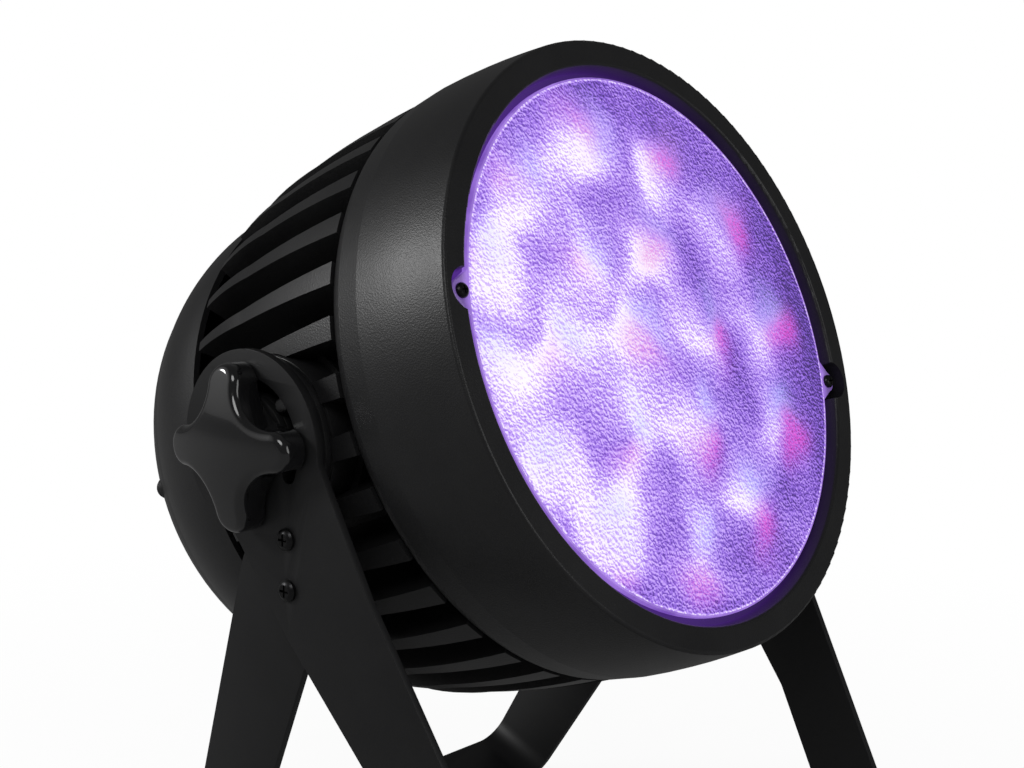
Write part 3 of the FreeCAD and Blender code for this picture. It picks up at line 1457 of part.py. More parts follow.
front_bezel()
lens_cover()
lens_gasket()
lens_cover_screws()
bezel_screws()
ribbed_housing()
led_board()
led_board_screws()
led_emitters()
collimator_lenses()
lens_holder()
board_standoffs()
driver_board()
power_supply()
led_lead()
power_lead()
rear_cap()
cap_gasket()
cap_screws()
safety_eye()
rear_panel()
panel_screws()
display_window()
display_board()
menu_buttons()
socket("power_inlet", -1.5)
socket("power_outlet", -0.5)
socket("data_inlet", 0.5)
socket("data_outlet", 1.5)
contact_pins("data_pins", 0.5)
vent_plug()
for side_name, side_sign in SIDES:
    pivot_hub("pivot_hub_" + side_name, side_sign)
    friction_washer("friction_washer_" + side_name, side_sign)
    pivot_stud("pivot_stud_" + side_name, side_sign)
    stop_pin("stop_pin_" + side_name, side_sign)
    knob("knob_" + side_name, side_sign)
    knob_insert("knob_insert_" + side_name, side_sign)
    knob_washer("knob_washer_" + side_name, side_sign)
front_bracket()
rear_bracket()
bracket_fixings()
doc.recompute()

for item in doc.Objects:
    if "Invalid" in item.State or "Error" in item.State:
        raise RuntimeError("%s is %s" % (item.Label, item.State))
whole = FreeCAD.BoundBox()
for piece in PIECES:
    shape = piece.Shape
    if shape.isNull() or not shape.isValid() or not shape.Solids:
        raise RuntimeError("%s has no sound shape" % piece.Label)
    whole.add(shape.BoundBox)
    print("%-22s solids %2d volume %10.1f" % (piece.Label, len(shape.Solids), shape.Volume))
print("whole", whole)

os.makedirs("parts", exist_ok=True)
for piece in PIECES:
    piece.Shape.exportStep("parts/%s.step" % piece.Label)
print("pieces", len(PIECES))
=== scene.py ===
"""Looks of a led wash light in a double bracket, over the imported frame.

Lengths are in metres, and sizes of the object are written as millimetres times MM.
The head frame has its origin on the tilt axis, X along it, Y up and Z along the beam.
"""

import json
import math

import bmesh
import bpy
from mathutils import Matrix, Vector, noise


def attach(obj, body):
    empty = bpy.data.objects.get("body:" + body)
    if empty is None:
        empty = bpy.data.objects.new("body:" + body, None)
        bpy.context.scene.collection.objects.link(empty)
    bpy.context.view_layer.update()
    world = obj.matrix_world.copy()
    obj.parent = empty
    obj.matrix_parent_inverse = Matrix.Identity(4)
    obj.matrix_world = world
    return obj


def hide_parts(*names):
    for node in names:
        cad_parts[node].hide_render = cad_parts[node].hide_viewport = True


MM = 0.001
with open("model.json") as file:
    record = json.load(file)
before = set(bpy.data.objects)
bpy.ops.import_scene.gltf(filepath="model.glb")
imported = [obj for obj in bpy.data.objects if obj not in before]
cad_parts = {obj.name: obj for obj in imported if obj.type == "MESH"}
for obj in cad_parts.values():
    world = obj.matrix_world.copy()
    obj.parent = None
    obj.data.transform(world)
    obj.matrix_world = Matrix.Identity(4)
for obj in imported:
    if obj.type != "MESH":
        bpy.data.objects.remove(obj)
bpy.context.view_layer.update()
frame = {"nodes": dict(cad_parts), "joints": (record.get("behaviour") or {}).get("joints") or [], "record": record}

JOINTS = {joint["name"]: joint for joint in frame["joints"]}
PIVOT = Vector(JOINTS["head_tilt"]["pos_m"])
BEAM = Vector(JOINTS["menu_press"]["axis"]).normalized()
SIDEWAYS = Vector((1, 0, 0))
HEAD_AXES = Matrix((SIDEWAYS, BEAM.cross(SIDEWAYS), BEAM)).transposed()
HEAD = Matrix.Translation(PIVOT) @ HEAD_AXES.to_4x4()
BODIES = frame["record"]["behaviour"]["bodies"]
BODY_OF = {node: body for body, nodes in BODIES.items() for node in nodes}


class Graph:
    """Adds nodes to a material or an effect group and wires them."""

    def __init__(self, tree):
        self.tree = tree

    def add(self, kind, sockets=None, **settings):
        node = self.tree.nodes.new("ShaderNode" + kind)
        for name, setting in settings.items():
            setattr(node, name, setting)
        for key, given in (sockets or {}).items():
            self.wire(node.inputs[key], given)
        return node

    def wire(self, socket, given):
        if isinstance(given, bpy.types.NodeSocket):
            self.tree.links.new(given, socket)
        else:
            socket.default_value = given

    def calc(self, operation, first, second, clamp=False):
        node = self.add("Math", operation=operation, use_clamp=clamp)
        self.wire(node.inputs[0], first)
        self.wire(node.inputs[1], second)
        return node.outputs[0]

    def remap(self, given, low, high, to_low, to_high):
        sockets = {"Value": given, "From Min": low, "From Max": high, "To Min": to_low, "To Max": to_high}
        return self.add("MapRange", sockets).outputs["Result"]

    def blend(self, share, first, second):
        """Two colours mixed by a share; they sit in the Mix node's sockets 6 and 7."""
        node = self.add("Mix", {"Factor": share, 6: first, 7: second}, data_type="RGBA")
        return node.outputs[2]

    def relief(self, surface, height, depth):
        """A bump on the surface, with its depth in millimetres."""
        bump = self.add("Bump", {"Strength": 1.0, "Distance": depth * MM, "Height": height})
        self.wire(surface.inputs["Normal"], bump.outputs[0])


# Effects: groups that several materials may share. They give out heights and masks only.

def effect(name, inputs, outputs):
    """An empty node group: returns its tree, a graph on it, its input node and its output node."""
    tree = bpy.data.node_groups.new(name, "ShaderNodeTree")
    for label, kind, start in inputs:
        socket = tree.interface.new_socket(label, in_out="INPUT", socket_type="NodeSocket" + kind)
        if start is not None:
            socket.default_value = start
    for label in outputs:
        tree.interface.new_socket(label, in_out="OUTPUT", socket_type="NodeSocketFloat")
    return tree, Graph(tree), tree.nodes.new("NodeGroupInput"), tree.nodes.new("NodeGroupOutput")


def grain_effect():
    """Fine powder-coat grain: a height, and a slow tone change from handling."""
    tree, graph, given, out = effect(
        "coat_grain", [("Vector", "Vector", None), ("Grain", "Float", 900.0)], ["Height", "Tone"])
    place, grain = given.outputs["Vector"], given.outputs["Grain"]
    fine = graph.add("TexNoise", {"Vector": place, "Scale": grain, "Detail": 3.0, "Roughness": 0.6})
    cells = graph.add("TexVoronoi", {"Vector": place, "Scale": grain, "Smoothness": 0.6},
                      feature="SMOOTH_F1")
    height = graph.calc("ADD", graph.calc("MULTIPLY", fine.outputs[0], 0.6), cells.outputs["Distance"])
    slow = graph.add("TexNoise", {"Vector": place, "Scale": 16.0, "Detail": 4.0, "Roughness": 0.62})
    graph.wire(out.inputs["Height"], height)
    graph.wire(out.inputs["Tone"], graph.remap(slow.outputs[0], 0.3, 0.7, 0.0, 1.0))
    return tree


PEBBLE_CELLS = 760.0
PEBBLE_DRIFT = 0.0024
PEBBLE_STEP = (0.0002, 0.0, 0.00026)
PEBBLE_SLOPE = 0.16


def pebble_effect():
    """Pebbled plastic: a height, and how far each spot leans towards the near side, which the cover uses as
    painted shade and highlight of the pebbles.
    """
    tree, graph, given, out = effect(
        "pebbled_relief", [("Vector", "Vector", None), ("Cells", "Float", PEBBLE_CELLS)],
        ["Height", "Relief_Shade"])

    def height(place):
        drift = graph.add("TexNoise", {"Vector": place, "Scale": 310.0, "Detail": 2.0})
        moved = graph.add("VectorMath", {0: drift.outputs["Color"], 1: (PEBBLE_DRIFT,) * 3, 2: place},
                          operation="MULTIPLY_ADD")
        cells = graph.add("TexVoronoi", {"Vector": moved.outputs[0], "Scale": given.outputs["Cells"],
                                         "Smoothness": 0.35}, feature="SMOOTH_F1")
        return cells.outputs["Distance"]

    here = height(given.outputs["Vector"])
    # painted relief shade: the height's change along a fixed step, so each pebble is lighter on one side and
    # darker on the other
    beside = graph.add("VectorMath", {0: given.outputs["Vector"], 1: PEBBLE_STEP}, operation="ADD")
    slope = graph.calc("SUBTRACT", height(beside.outputs[0]), here)
    graph.wire(out.inputs["Height"], graph.calc("SUBTRACT", 1.0, here))
    graph.wire(out.inputs["Relief_Shade"], graph.remap(slope, -PEBBLE_SLOPE, PEBBLE_SLOPE, 0.0, 1.0))
    return tree


def beam_place_effect():
    """Where a spot of the head lies, in metres: its reach from the beam axis and its depth along it."""
    tree, graph, given, out = effect("beam_place", [("Vector", "Vector", None)], ["Reach", "Depth"])
    spot = graph.add("VectorMath", {0: given.outputs["Vector"], 1: tuple(PIVOT)}, operation="SUBTRACT")
    depth = graph.add("VectorMath", {0: spot.outputs[0], 1: tuple(BEAM)}, operation="DOT_PRODUCT")
    along = graph.add("VectorMath", {0: tuple(BEAM), "Scale": depth.outputs["Value"]}, operation="SCALE")
    across = graph.add("VectorMath", {0: spot.outputs[0], 1: along.outputs[0]}, operation="SUBTRACT")
    reach = graph.add("VectorMath", {0: across.outputs[0]}, operation="LENGTH")
    graph.wire(out.inputs["Reach"], reach.outputs["Value"])
    graph.wire(out.inputs["Depth"], depth.outputs["Value"])
    return tree


COAT_GRAIN = grain_effect()
PEBBLES = pebble_effect()
BEAM_PLACE = beam_place_effect()


# Materials.

def new_material(name):
    material = bpy.data.materials.new(name)
    material.use_nodes = True
    graph = Graph(material.node_tree)
    surface = material.node_tree.nodes["Principled BSDF"]
    place = graph.add("TexCoord").outputs["Object"]
    return material, graph, surface, place


def coated_metal(name, dark, light, rough, grain, depth, gloss):
    """Powder coat: two close tones and a grainy bump."""
    material, graph, surface, place = new_material(name)
    coat = graph.add("Group", node_tree=COAT_GRAIN)
    graph.wire(coat.inputs["Vector"], place)
    coat.inputs["Grain"].default_value = grain
    tone = coat.outputs["Tone"]
    graph.wire(surface.inputs["Base Color"], graph.blend(tone, (*dark, 1), (*light, 1)))
    graph.wire(surface.inputs["Roughness"], graph.remap(tone, 0.0, 1.0, rough - 0.03, rough + 0.04))
    graph.relief(surface, coat.outputs["Height"], depth)
    surface.inputs["Specular IOR Level"].default_value = gloss
    return material


def head_paint(name):
    """The powder coat of the head's castings."""
    return coated_metal(name, (0.0075, 0.0075, 0.008), (0.011, 0.011, 0.0115), 0.36, 1700.0, 0.05, 0.3)


OPENING_WALL = (107.9 * MM, 107.2 * MM)
OPENING_DEPTH = (89.0 * MM, 95.6 * MM)
OPENING_SIDES = (-90.0 * MM, 70.0 * MM)


def bezel_paint():
    """The head's powder coat, with the cover's violet light on the wall of the opening."""
    material = head_paint("bezel_paint")
    graph = Graph(material.node_tree)
    surface = material.node_tree.nodes["Principled BSDF"]
    spot = graph.add("TexCoord").outputs["Object"]
    place = graph.add("Group", node_tree=BEAM_PLACE)
    graph.wire(place.inputs["Vector"], spot)
    inside = graph.remap(place.outputs["Reach"], *OPENING_WALL, 0.0, 1.0)
    near = graph.remap(place.outputs["Depth"], *OPENING_DEPTH, 1.0, 0.0)
    side = graph.remap(graph.add("SeparateXYZ", {0: spot}).outputs["X"], *OPENING_SIDES, 1.0, 0.08)
    lit = graph.calc("MULTIPLY", graph.calc("MULTIPLY", inside, near), side)
    graph.wire(surface.inputs["Emission Color"], graph.blend(lit, (0, 0, 0, 1), (0.075, 0.02, 0.24, 1)))
    surface.inputs["Emission Strength"].default_value = 1.0
    return material


def plain_finish(name, color, rough, metal=0.0, depth=0.02, coat=0.0):
    """Moulded, turned or stamped small pieces: fine grain and a slight change of tone."""
    material, graph, surface, place = new_material(name)
    texture = graph.add("Group", node_tree=COAT_GRAIN)
    graph.wire(texture.inputs["Vector"], place)
    texture.inputs["Grain"].default_value = 1400.0
    tone = texture.outputs["Tone"]
    darker = tuple(0.8 * part for part in color)
    graph.wire(surface.inputs["Base Color"], graph.blend(tone, (*darker, 1), (*color, 1)))
    graph.wire(surface.inputs["Roughness"], graph.remap(tone, 0.0, 1.0, rough * 0.85, rough * 1.15))
    graph.relief(surface, texture.outputs["Height"], depth)
    surface.inputs["Metallic"].default_value = metal
    surface.inputs["Coat Weight"].default_value = coat
    surface.inputs["Coat Roughness"].default_value = 0.04
    return material


def clear_plastic(name, tint, rough):
    """Clear or frosted plastic with a slow change of roughness."""
    material, graph, surface, place = new_material(name)
    surface.inputs["Base Color"].default_value = (*tint, 1)
    surface.inputs["Transmission Weight"].default_value = 0.9
    surface.inputs["IOR"].default_value = 1.49
    ripple = graph.add("TexNoise", {"Vector": place, "Scale": 220.0, "Detail": 2.0})
    graph.wire(surface.inputs["Roughness"],
               graph.remap(ripple.outputs[0], 0.0, 1.0, rough * 0.5, rough * 1.5))
    return material


EAR_REACH = (103.4 * MM, 106.0 * MM)
EAR_DIMMING = 0.75


def lit_rim():
    """Edge and ears of the cover: frosted plastic that carries the violet light."""
    material, graph, surface, place = new_material("lit_rim")
    cloud = graph.add("TexNoise", {"Vector": place, "Scale": 90.0, "Detail": 3.0})
    tone = graph.remap(cloud.outputs[0], 0.3, 0.7, 0.0, 1.0)
    graph.wire(surface.inputs["Base Color"], graph.blend(tone, (0.12, 0.08, 0.2, 1), (0.18, 0.12, 0.3, 1)))
    graph.wire(surface.inputs["Roughness"], graph.remap(tone, 0.0, 1.0, 0.25, 0.4))
    beam = graph.add("Group", node_tree=BEAM_PLACE)
    graph.wire(beam.inputs["Vector"], place)
    ear = graph.remap(beam.outputs["Reach"], *EAR_REACH, 0.0, EAR_DIMMING)
    violet = graph.blend(tone, (0.16, 0.07, 0.4, 1), (0.3, 0.16, 0.62, 1))
    graph.wire(surface.inputs["Emission Color"], graph.blend(ear, violet, (0.03, 0.012, 0.08, 1)))
    surface.inputs["Emission Strength"].default_value = 1.0
    return material


GLOW_STEPS = ((0.0, (0.04, 0.016, 0.13)), (0.22, (0.16, 0.065, 0.5)), (0.42, (0.35, 0.18, 0.8)),
              (0.68, (0.62, 0.43, 0.95)), (0.95, (1.0, 0.95, 1.0)))
BLUE_LIGHT = (0.42, 0.5, 1.0, 1)
PINK_LIGHT = (0.78, 0.07, 0.62, 1)
LEVEL_SHARE = 0.34
WHITE_SHARE = 0.74
# how far the painted relief shade of the pebbles brightens or darkens the cover's light
RELIEF_SHADE_GLOW = 0.21
# painted glints: a fine noise that makes small spots of the cover's light brighter or darker and tints its pink
# and blue
GLINT_SCALE = 1700.0
GLINT_GLOW = (-0.09, 0.11)
GLINT_TINT = (0.25, 1.25)
PEBBLE_DEPTH = 0.2


def glowing_cover():
    """Pebbled cover lit from behind: the cover_glow attribute holds white, pink, blue and level."""
    material, graph, surface, place = new_material("glowing_cover")
    glow = graph.add("Attribute", attribute_name="cover_glow")
    masks = graph.add("SeparateColor", {0: glow.outputs["Color"]})
    pebbles = graph.add("Group", node_tree=PEBBLES)
    graph.wire(pebbles.inputs["Vector"], place)
    relief_shade = pebbles.outputs["Relief_Shade"]
    # painted glints of the pebbled cover
    glint_noise = graph.add("TexNoise", {"Vector": place, "Scale": GLINT_SCALE, "Detail": 2.0,
                                     "Roughness": 0.7}).outputs[0]
    # painted shade and highlight of the pebbles, from how far each spot leans, plus painted glints; both brighten
    # or darken the light
    painted_shade_and_glints = graph.calc("ADD", graph.remap(relief_shade, 0.0, 1.0, -RELIEF_SHADE_GLOW, RELIEF_SHADE_GLOW),
                            graph.remap(glint_noise, 0.35, 0.65, *GLINT_GLOW))
    lit = graph.calc("ADD", graph.calc("MULTIPLY", glow.outputs["Alpha"], LEVEL_SHARE),
                     graph.calc("MULTIPLY", masks.outputs["Red"], WHITE_SHARE))
    ramp = graph.add("ValToRGB", {0: graph.calc("ADD", lit, painted_shade_and_glints, clamp=True)})
    stops = ramp.color_ramp.elements
    for step, (where, tone) in enumerate(GLOW_STEPS):
        stop = stops[0] if step == 0 else stops.new(where)
        stop.position = where
        stop.color = (*tone, 1)
    while len(stops) > len(GLOW_STEPS):
        stops.remove(stops[-1])
    # the painted glints also strengthen or weaken the pink and blue light
    sparkle = graph.remap(glint_noise, 0.42, 0.58, *GLINT_TINT)
    blue = graph.calc("MULTIPLY", masks.outputs["Blue"], sparkle, clamp=True)
    pink = graph.calc("MULTIPLY", masks.outputs["Green"], sparkle, clamp=True)
    color = graph.blend(pink, graph.blend(blue, ramp.outputs["Color"], BLUE_LIGHT), PINK_LIGHT)
    graph.wire(surface.inputs["Emission Color"], color)
    surface.inputs["Emission Strength"].default_value = 1.0
    # painted relief shade in the base colour: each pebble darker or lighter by how far it leans
    graph.wire(surface.inputs["Base Color"], graph.blend(relief_shade, (0.03, 0.02, 0.06, 1), (0.06, 0.045, 0.11, 1)))
    graph.wire(surface.inputs["Roughness"], graph.remap(relief_shade, 0.0, 1.0, 0.36, 0.28))
    surface.inputs["Specular IOR Level"].default_value = 0.25
    graph.relief(surface, pebbles.outputs["Height"], PEBBLE_DEPTH)
    return material


COATS = {
    "bracket_paint": ((0.0065, 0.0065, 0.007), (0.009, 0.009, 0.0095), 0.42, 1500.0, 0.015, 0.25),
    "panel_paint": ((0.008, 0.008, 0.0085), (0.011, 0.011, 0.0115), 0.42, 1300.0, 0.015, 0.3),
}
CLEAR = {
    "frosted_cover": ((0.8, 0.74, 0.95), 0.4),
    "clear_lens": ((0.93, 0.95, 0.97), 0.05),
}
PLAIN = {
    "black_screws": dict(color=(0.02, 0.02, 0.021), rough=0.3, metal=0.85),
    "dark_window": dict(color=(0.01, 0.012, 0.018), rough=0.06, coat=0.6),
    "knob_gloss": dict(color=(0.006, 0.006, 0.0065), rough=0.12, depth=0.004, coat=0.5),
    "brass": dict(color=(0.72, 0.52, 0.22), rough=0.25, metal=1.0),
    "bright_steel": dict(color=(0.1, 0.1, 0.102), rough=0.34, metal=1.0),
    "friction_pad": dict(color=(0.02, 0.02, 0.021), rough=0.5),
    "seal_rubber": dict(color=(0.012, 0.012, 0.012), rough=0.75),
    "holder_plastic": dict(color=(0.014, 0.014, 0.015), rough=0.55),
    "circuit_board": dict(color=(0.01, 0.11, 0.04), rough=0.4, coat=0.3),
    "led_board_white": dict(color=(0.8, 0.81, 0.8), rough=0.45),
    "led_package": dict(color=(0.85, 0.8, 0.5), rough=0.15, coat=0.5),
    "supply_case": dict(color=(0.62, 0.63, 0.64), rough=0.35, metal=1.0),
    "button_plastic": dict(color=(0.16, 0.16, 0.165), rough=0.45),
    "inlet_plastic": dict(color=(0.02, 0.07, 0.35), rough=0.4),
    "outlet_plastic": dict(color=(0.5, 0.5, 0.5), rough=0.4),
    "data_socket_metal": dict(color=(0.03, 0.03, 0.032), rough=0.32, metal=0.8),
}
MATERIALS = {"housing_paint": head_paint("housing_paint")}
MATERIALS.update((name, coated_metal(name, *coat)) for name, coat in COATS.items())
MATERIALS.update((name, clear_plastic(name, *look)) for name, look in CLEAR.items())
MATERIALS.update((name, plain_finish(name, **look)) for name, look in PLAIN.items())


def dress_nodes():
    """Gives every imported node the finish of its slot, and the bezel its lit wall."""
    for part in frame["record"]["subparts"]:
        for slot in frame["nodes"][part["node"]].material_slots:
            slot.material = MATERIALS[part["material_slot"]]
    lit_bezel = bezel_paint()
    for slot in frame["nodes"]["front_bezel"].material_slots:
        slot.material = lit_bezel


dress_nodes()


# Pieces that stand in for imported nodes, or lie on them.

SHARP_EDGE = math.radians(32)
WELD = 0.002 * MM


def new_piece(name, bm, material, body):
    """An object made from a bmesh, shaded smooth up to its sharp edges, that rides on a body."""
    mesh = bpy.data.meshes.new(name)
    bm.to_mesh(mesh)
    bm.free()
    if "custom_normal" in mesh.attributes:
        mesh.attributes.remove(mesh.attributes["custom_normal"])
    mesh.shade_smooth()
    mesh.set_sharp_from_angle(angle=SHARP_EDGE)
    mesh.materials.clear()
    mesh.materials.append(material)
    piece = bpy.data.objects.new(name, mesh)
    bpy.context.scene.collection.objects.link(piece)
    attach(piece, body)
    return piece


def softened(node, name, width, material, segments=2, flat=0.8):
    """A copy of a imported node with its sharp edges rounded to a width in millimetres.

    Faces that meet at less than flat degrees are merged before the rounding.
    """
    bm = bmesh.new()
    bm.from_mesh(frame["nodes"][node].data)
    bmesh.ops.remove_doubles(bm, verts=bm.verts, dist=WELD)
    bmesh.ops.dissolve_limit(bm, angle_limit=math.radians(flat), verts=bm.verts, edges=bm.edges)
    sharp = [edge for edge in bm.edges if edge.is_manifold and edge.calc_face_angle() > SHARP_EDGE]
    bmesh.ops.bevel(bm, geom=sharp, offset=width * MM, segments=segments, profile=0.5,
                    affect="EDGES", clamp_overlap=True)
    piece = new_piece(name, bm, material, BODY_OF[node])
    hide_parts(node)


# Sizes of the cover and places of its light, in millimetres of the head frame.
COVER_RADIUS = 103.2
COVER_EDGE = 92.8
COVER_CROWN = 3.0
FACE_RADIUS = 102.7
FACE_RISE = 0.06
FACE_SINK = -0.3
FACE_SPOKES = 216
RING_STEP, RING_COUNT = 1.6, 62
OUTER_RINGS = (100.6, 101.4, 101.9, 102.3, FACE_RADIUS)
EDGE_LINE_FROM = 101.7
EDGE_LINE = (0.4, 0.0, 0.0, 1.0)
LED_RINGS = ((0.0, 0.0, 1), (38.0, 30.0, 6), (76.0, 0.0, 12))
WARP, WARP_SIZE, PATCH_SIZE = 9.0, 19.0, 21.0
FAR_FROM, FAR_SPAN = -60.0, 130.0
WHITE_SHIFT, WHITE_SIZE, WHITE_SHRINK = 17.0, 19.5, 5.5
BLUE_SHIFT, BLUE_RISE, BLUE_SIZE = 12.0, 6.0, 9.0
PINK_SHIFT, PINK_DROP, PINK_SIZE, PINK_GROWTH = 18.0, 3.0, 7.0, 2.5
FADE_FROM, FADE_SPAN = 66.0, 44.0


def led_spots():
    """The nineteen LEDs, in millimetres of the head frame."""
    for radius, start, count in LED_RINGS:
        for index in range(count):
            angle = math.radians(start + 360 * index / count)
            yield -radius * math.sin(angle), radius * math.cos(angle)


def dome(radius):
    """Height of the cover's face over a point at this radius."""
    bow = (COVER_RADIUS ** 2 + COVER_CROWN ** 2) / (2 * COVER_CROWN)
    return COVER_EDGE + COVER_CROWN - bow + math.sqrt(bow ** 2 - radius ** 2)


def spot_light(x, y, centre, size):
    """Light at a spot from a soft round source: 1 at its centre, fading with its size."""
    away = ((x - centre[0]) ** 2 + (y - centre[1]) ** 2) / size ** 2
    return math.exp(-away)


def cover_light(x, y):
    """White, pink, blue and level of the light at a spot of the cover, each from 0 to 1.

    The LEDs lie 16 mm behind the cover, so their light shows shifted towards -X, and its
    pink fringe lies outwards of it. The white spots get smaller towards +X, the pink ones
    larger and stronger.
    """
    x += WARP * noise.noise(Vector((x, y, 7.0)) / WARP_SIZE)
    y += WARP * noise.noise(Vector((x, y, 31.0)) / WARP_SIZE)
    white = pink = blue = 0.0
    for led_x, led_y in led_spots():
        far = min(max((led_x - FAR_FROM) / FAR_SPAN, 0.0), 1.0)
        centre = (led_x - WHITE_SHIFT, led_y * 0.97)
        white += (1.0 - 0.25 * far) * spot_light(x, y, centre, WHITE_SIZE - WHITE_SHRINK * far)
        centre = (led_x * 1.1 - BLUE_SHIFT, led_y + BLUE_RISE)
        blue += (0.3 + 0.4 * far) * spot_light(x, y, centre, BLUE_SIZE)
        centre = (led_x * 1.25 - PINK_SHIFT, led_y * 1.12 - PINK_DROP)
        pink += (0.16 + 0.84 * far ** 1.5) * spot_light(x, y, centre, PINK_SIZE + PINK_GROWTH * far)
    patches = 0.5 + 0.9 * noise.noise(Vector((x, y, 3.0)) / PATCH_SIZE)
    white = min(white * (0.72 + 0.5 * patches), 1.0) ** 1.3
    level = min(max(1.0 - (x - FADE_FROM) / FADE_SPAN, 0.25), 1.0) * (0.55 + 0.45 * patches)
    return white, min(pink, 0.75), min(blue, 0.7), level


def cover_face():
    """The cover's domed face with the light of the LEDs behind it, and an even line of light at its edge."""
    bm = bmesh.new()
    layer = bm.verts.layers.float_color.new("cover_glow")
    rings = [RING_STEP * step for step in range(1, RING_COUNT + 1)] + list(OUTER_RINGS)
    middle = bm.verts.new(HEAD @ Vector((0, 0, (dome(0) + FACE_RISE) * MM)))
    middle[layer] = cover_light(0, 0)
    inner = None
    for radius in rings:
        ring = []
        for index in range(FACE_SPOKES):
            angle = 2 * math.pi * index / FACE_SPOKES
            x, y = radius * math.cos(angle), radius * math.sin(angle)
            rise = FACE_RISE if radius < FACE_RADIUS else FACE_SINK
            vertex = bm.verts.new(HEAD @ (Vector((x, y, dome(radius) + rise)) * MM))
            vertex[layer] = EDGE_LINE if radius > EDGE_LINE_FROM else cover_light(x, y)
            ring.append(vertex)
        for index in range(FACE_SPOKES):
            after = (index + 1) % FACE_SPOKES
            if inner:
                bm.faces.new((inner[index], ring[index], ring[after], inner[after]))
            else:
                bm.faces.new((middle, ring[index], ring[after]))
        inner = ring
    new_piece("lens_cover_face", bm, glowing_cover(), "head")


cover_face()
softened("lens_cover", "lens_cover_rim", 0.35, lit_rim())
for plate in ("front_bracket", "rear_bracket"):
    softened(plate, plate + "_strip", 0.4, MATERIALS["bracket_paint"], segments=3)
for side in ("left", "right"):
    hub, knob = "pivot_hub_" + side, "knob_" + side
    softened(hub, hub + "_cup", 0.35, MATERIALS["housing_paint"])
    softened(knob, knob + "_grip", 0.3, MATERIALS["knob_gloss"], flat=0.05)


# Studio and camera.

SOFTBOX_WAY = Vector((-0.64, 0.66, 0.42)).normalized()
LAMPS = (
    ("key_lamp", PIVOT + Vector((-1.5, -0.9, 1.5)), 1.0, 12.0),
    ("fill_lamp", PIVOT + Vector((0.3, -1.9, 0.5)), 1.2, 8.0),
    ("softbox", PIVOT + SOFTBOX_WAY * 1.7, 0.45, 11.0),
)
FLOOR_SIZE = 12
FLOOR_DROP = 0.5 * MM
DIFFUSE_LIGHT = 0.42
FLOOR_GLOW = 0.12
FLOOR_MIRRORED = 0.85


def lamp(name, place, size, power):
    """A round soft lamp that faces the tilt axis."""
    light = bpy.data.lights.new(name, "AREA")
    light.shape = "DISK"
    light.size = size
    light.energy = power
    lamp_object = bpy.data.objects.new(name, light)
    lamp_object.location = place
    lamp_object.rotation_euler = (PIVOT - Vector(place)).to_track_quat("-Z", "Y").to_euler()
    bpy.context.scene.collection.objects.link(lamp_object)


def seen_directly(graph, rays):
    """1 for what the viewer sees directly or through the clear plastics, else 0."""
    return graph.calc("MAXIMUM", rays.outputs["Is Camera Ray"], rays.outputs["Is Transmission Ray"])


def white_room():
    """White surroundings; in the gloss of the paint they are bright only round the softbox."""
    world = bpy.data.worlds.new("white_room")
    bpy.context.scene.world = world
    world.use_nodes = True
    graph = Graph(world.node_tree)
    rays = graph.add("LightPath")
    way = graph.add("TexCoord").outputs["Generated"]
    facing = graph.add("VectorMath", {0: way, 1: tuple(SOFTBOX_WAY)}, operation="DOT_PRODUCT")
    mirrored = graph.calc("MULTIPLY", rays.outputs["Is Glossy Ray"],
                          graph.remap(facing.outputs["Value"], 0.8, 1.0, 0.1, 0.8))
    plain = graph.calc("MULTIPLY", rays.outputs["Is Diffuse Ray"], DIFFUSE_LIGHT)
    strength = graph.calc("MAXIMUM", graph.calc("MAXIMUM", seen_directly(graph, rays), mirrored), plain)
    back = world.node_tree.nodes["Background"]
    back.inputs["Color"].default_value = (1, 1, 1, 1)
    graph.wire(back.inputs["Strength"], strength)


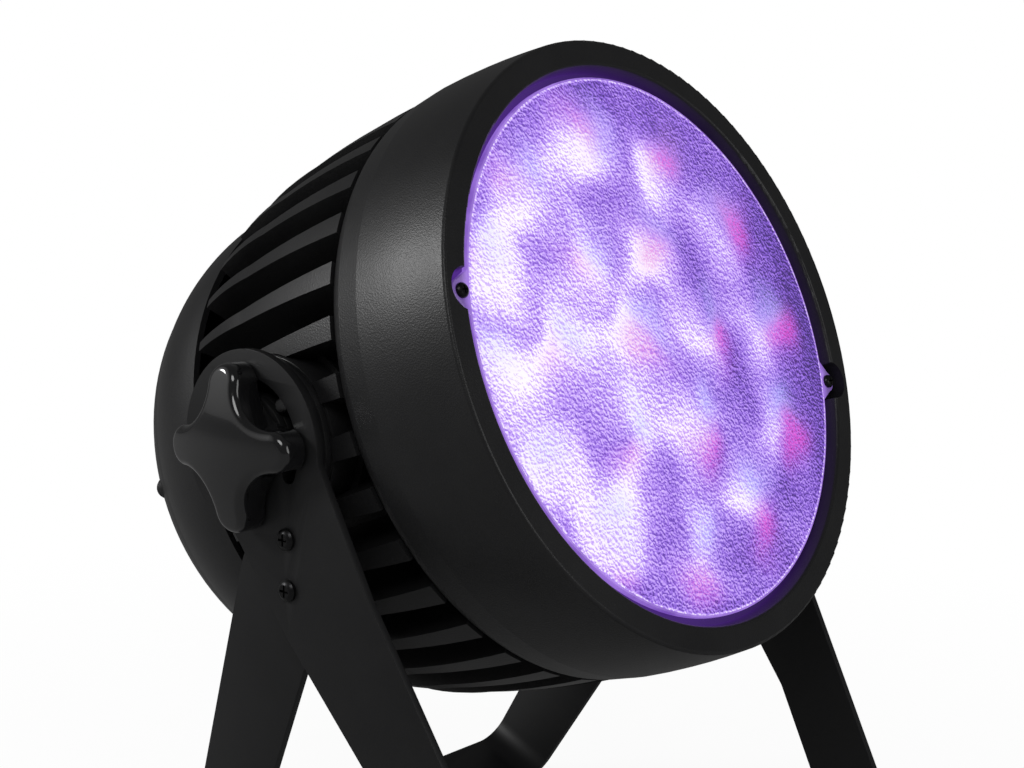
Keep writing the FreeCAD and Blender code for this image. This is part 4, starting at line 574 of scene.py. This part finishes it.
def pale_floor():
    """A floor that fades into the white surroundings, with a faint shadow under the stand."""
    bpy.ops.mesh.primitive_plane_add(size=FLOOR_SIZE)
    floor = bpy.context.object
    floor.name = "studio_floor"
    floor.location.z = -FLOOR_DROP
    material, graph, surface, place = new_material("pale_floor")
    surface.inputs["Base Color"].default_value = (0.9, 0.9, 0.9, 1)
    surface.inputs["Roughness"].default_value = 0.9
    rays = graph.add("LightPath")
    seen = seen_directly(graph, rays)
    glow = graph.add("Emission", {"Color": (1, 1, 1, 1), "Strength": graph.calc("MAXIMUM", seen, FLOOR_GLOW)})
    reach = graph.add("VectorMath", {0: place}, operation="LENGTH").outputs["Value"]
    share = graph.calc("MULTIPLY", seen, graph.remap(reach, 0.15, 0.6, 0.93, 1.0))
    mirrored = graph.calc("MULTIPLY", rays.outputs["Is Glossy Ray"], FLOOR_MIRRORED)
    share = graph.calc("MAXIMUM", share, mirrored)
    mix = graph.add("MixShader", {0: share, 1: surface.outputs[0], 2: glow.outputs[0]})
    graph.wire(material.node_tree.nodes["Material Output"].inputs["Surface"], mix.outputs[0])
    floor.data.materials.append(material)


CAMERA_FROM_PIVOT = Vector((-549.9, -473.8, 124.6)) * MM
CAMERA_YAW = math.radians(50.04)
CAMERA_PITCH = math.radians(9.18)
CAMERA_ROLL = math.radians(0.84)
FOCAL_PIXELS = 1822
FRAME_PIXELS = 1024
SENSOR = 36.0


def camera():
    """The photograph's view: a long lens from the left front, slightly above."""
    lens = bpy.data.cameras.new("view")
    lens.sensor_width = SENSOR
    lens.lens = SENSOR * FOCAL_PIXELS / FRAME_PIXELS
    lens.clip_start = 0.01
    viewer = bpy.data.objects.new("view", lens)
    level = math.cos(CAMERA_PITCH)
    gaze = Vector((math.sin(CAMERA_YAW) * level, math.cos(CAMERA_YAW) * level, -math.sin(CAMERA_PITCH)))
    turn = gaze.to_track_quat("-Z", "Y").to_matrix().to_4x4() @ Matrix.Rotation(CAMERA_ROLL, 4, "Z")
    viewer.matrix_world = Matrix.Translation(PIVOT + CAMERA_FROM_PIVOT) @ turn
    bpy.context.scene.collection.objects.link(viewer)
    bpy.context.scene.camera = viewer


bpy.context.scene.view_settings.view_transform = "Standard"
white_room()
pale_floor()
for settings in LAMPS:
    lamp(*settings)
camera()
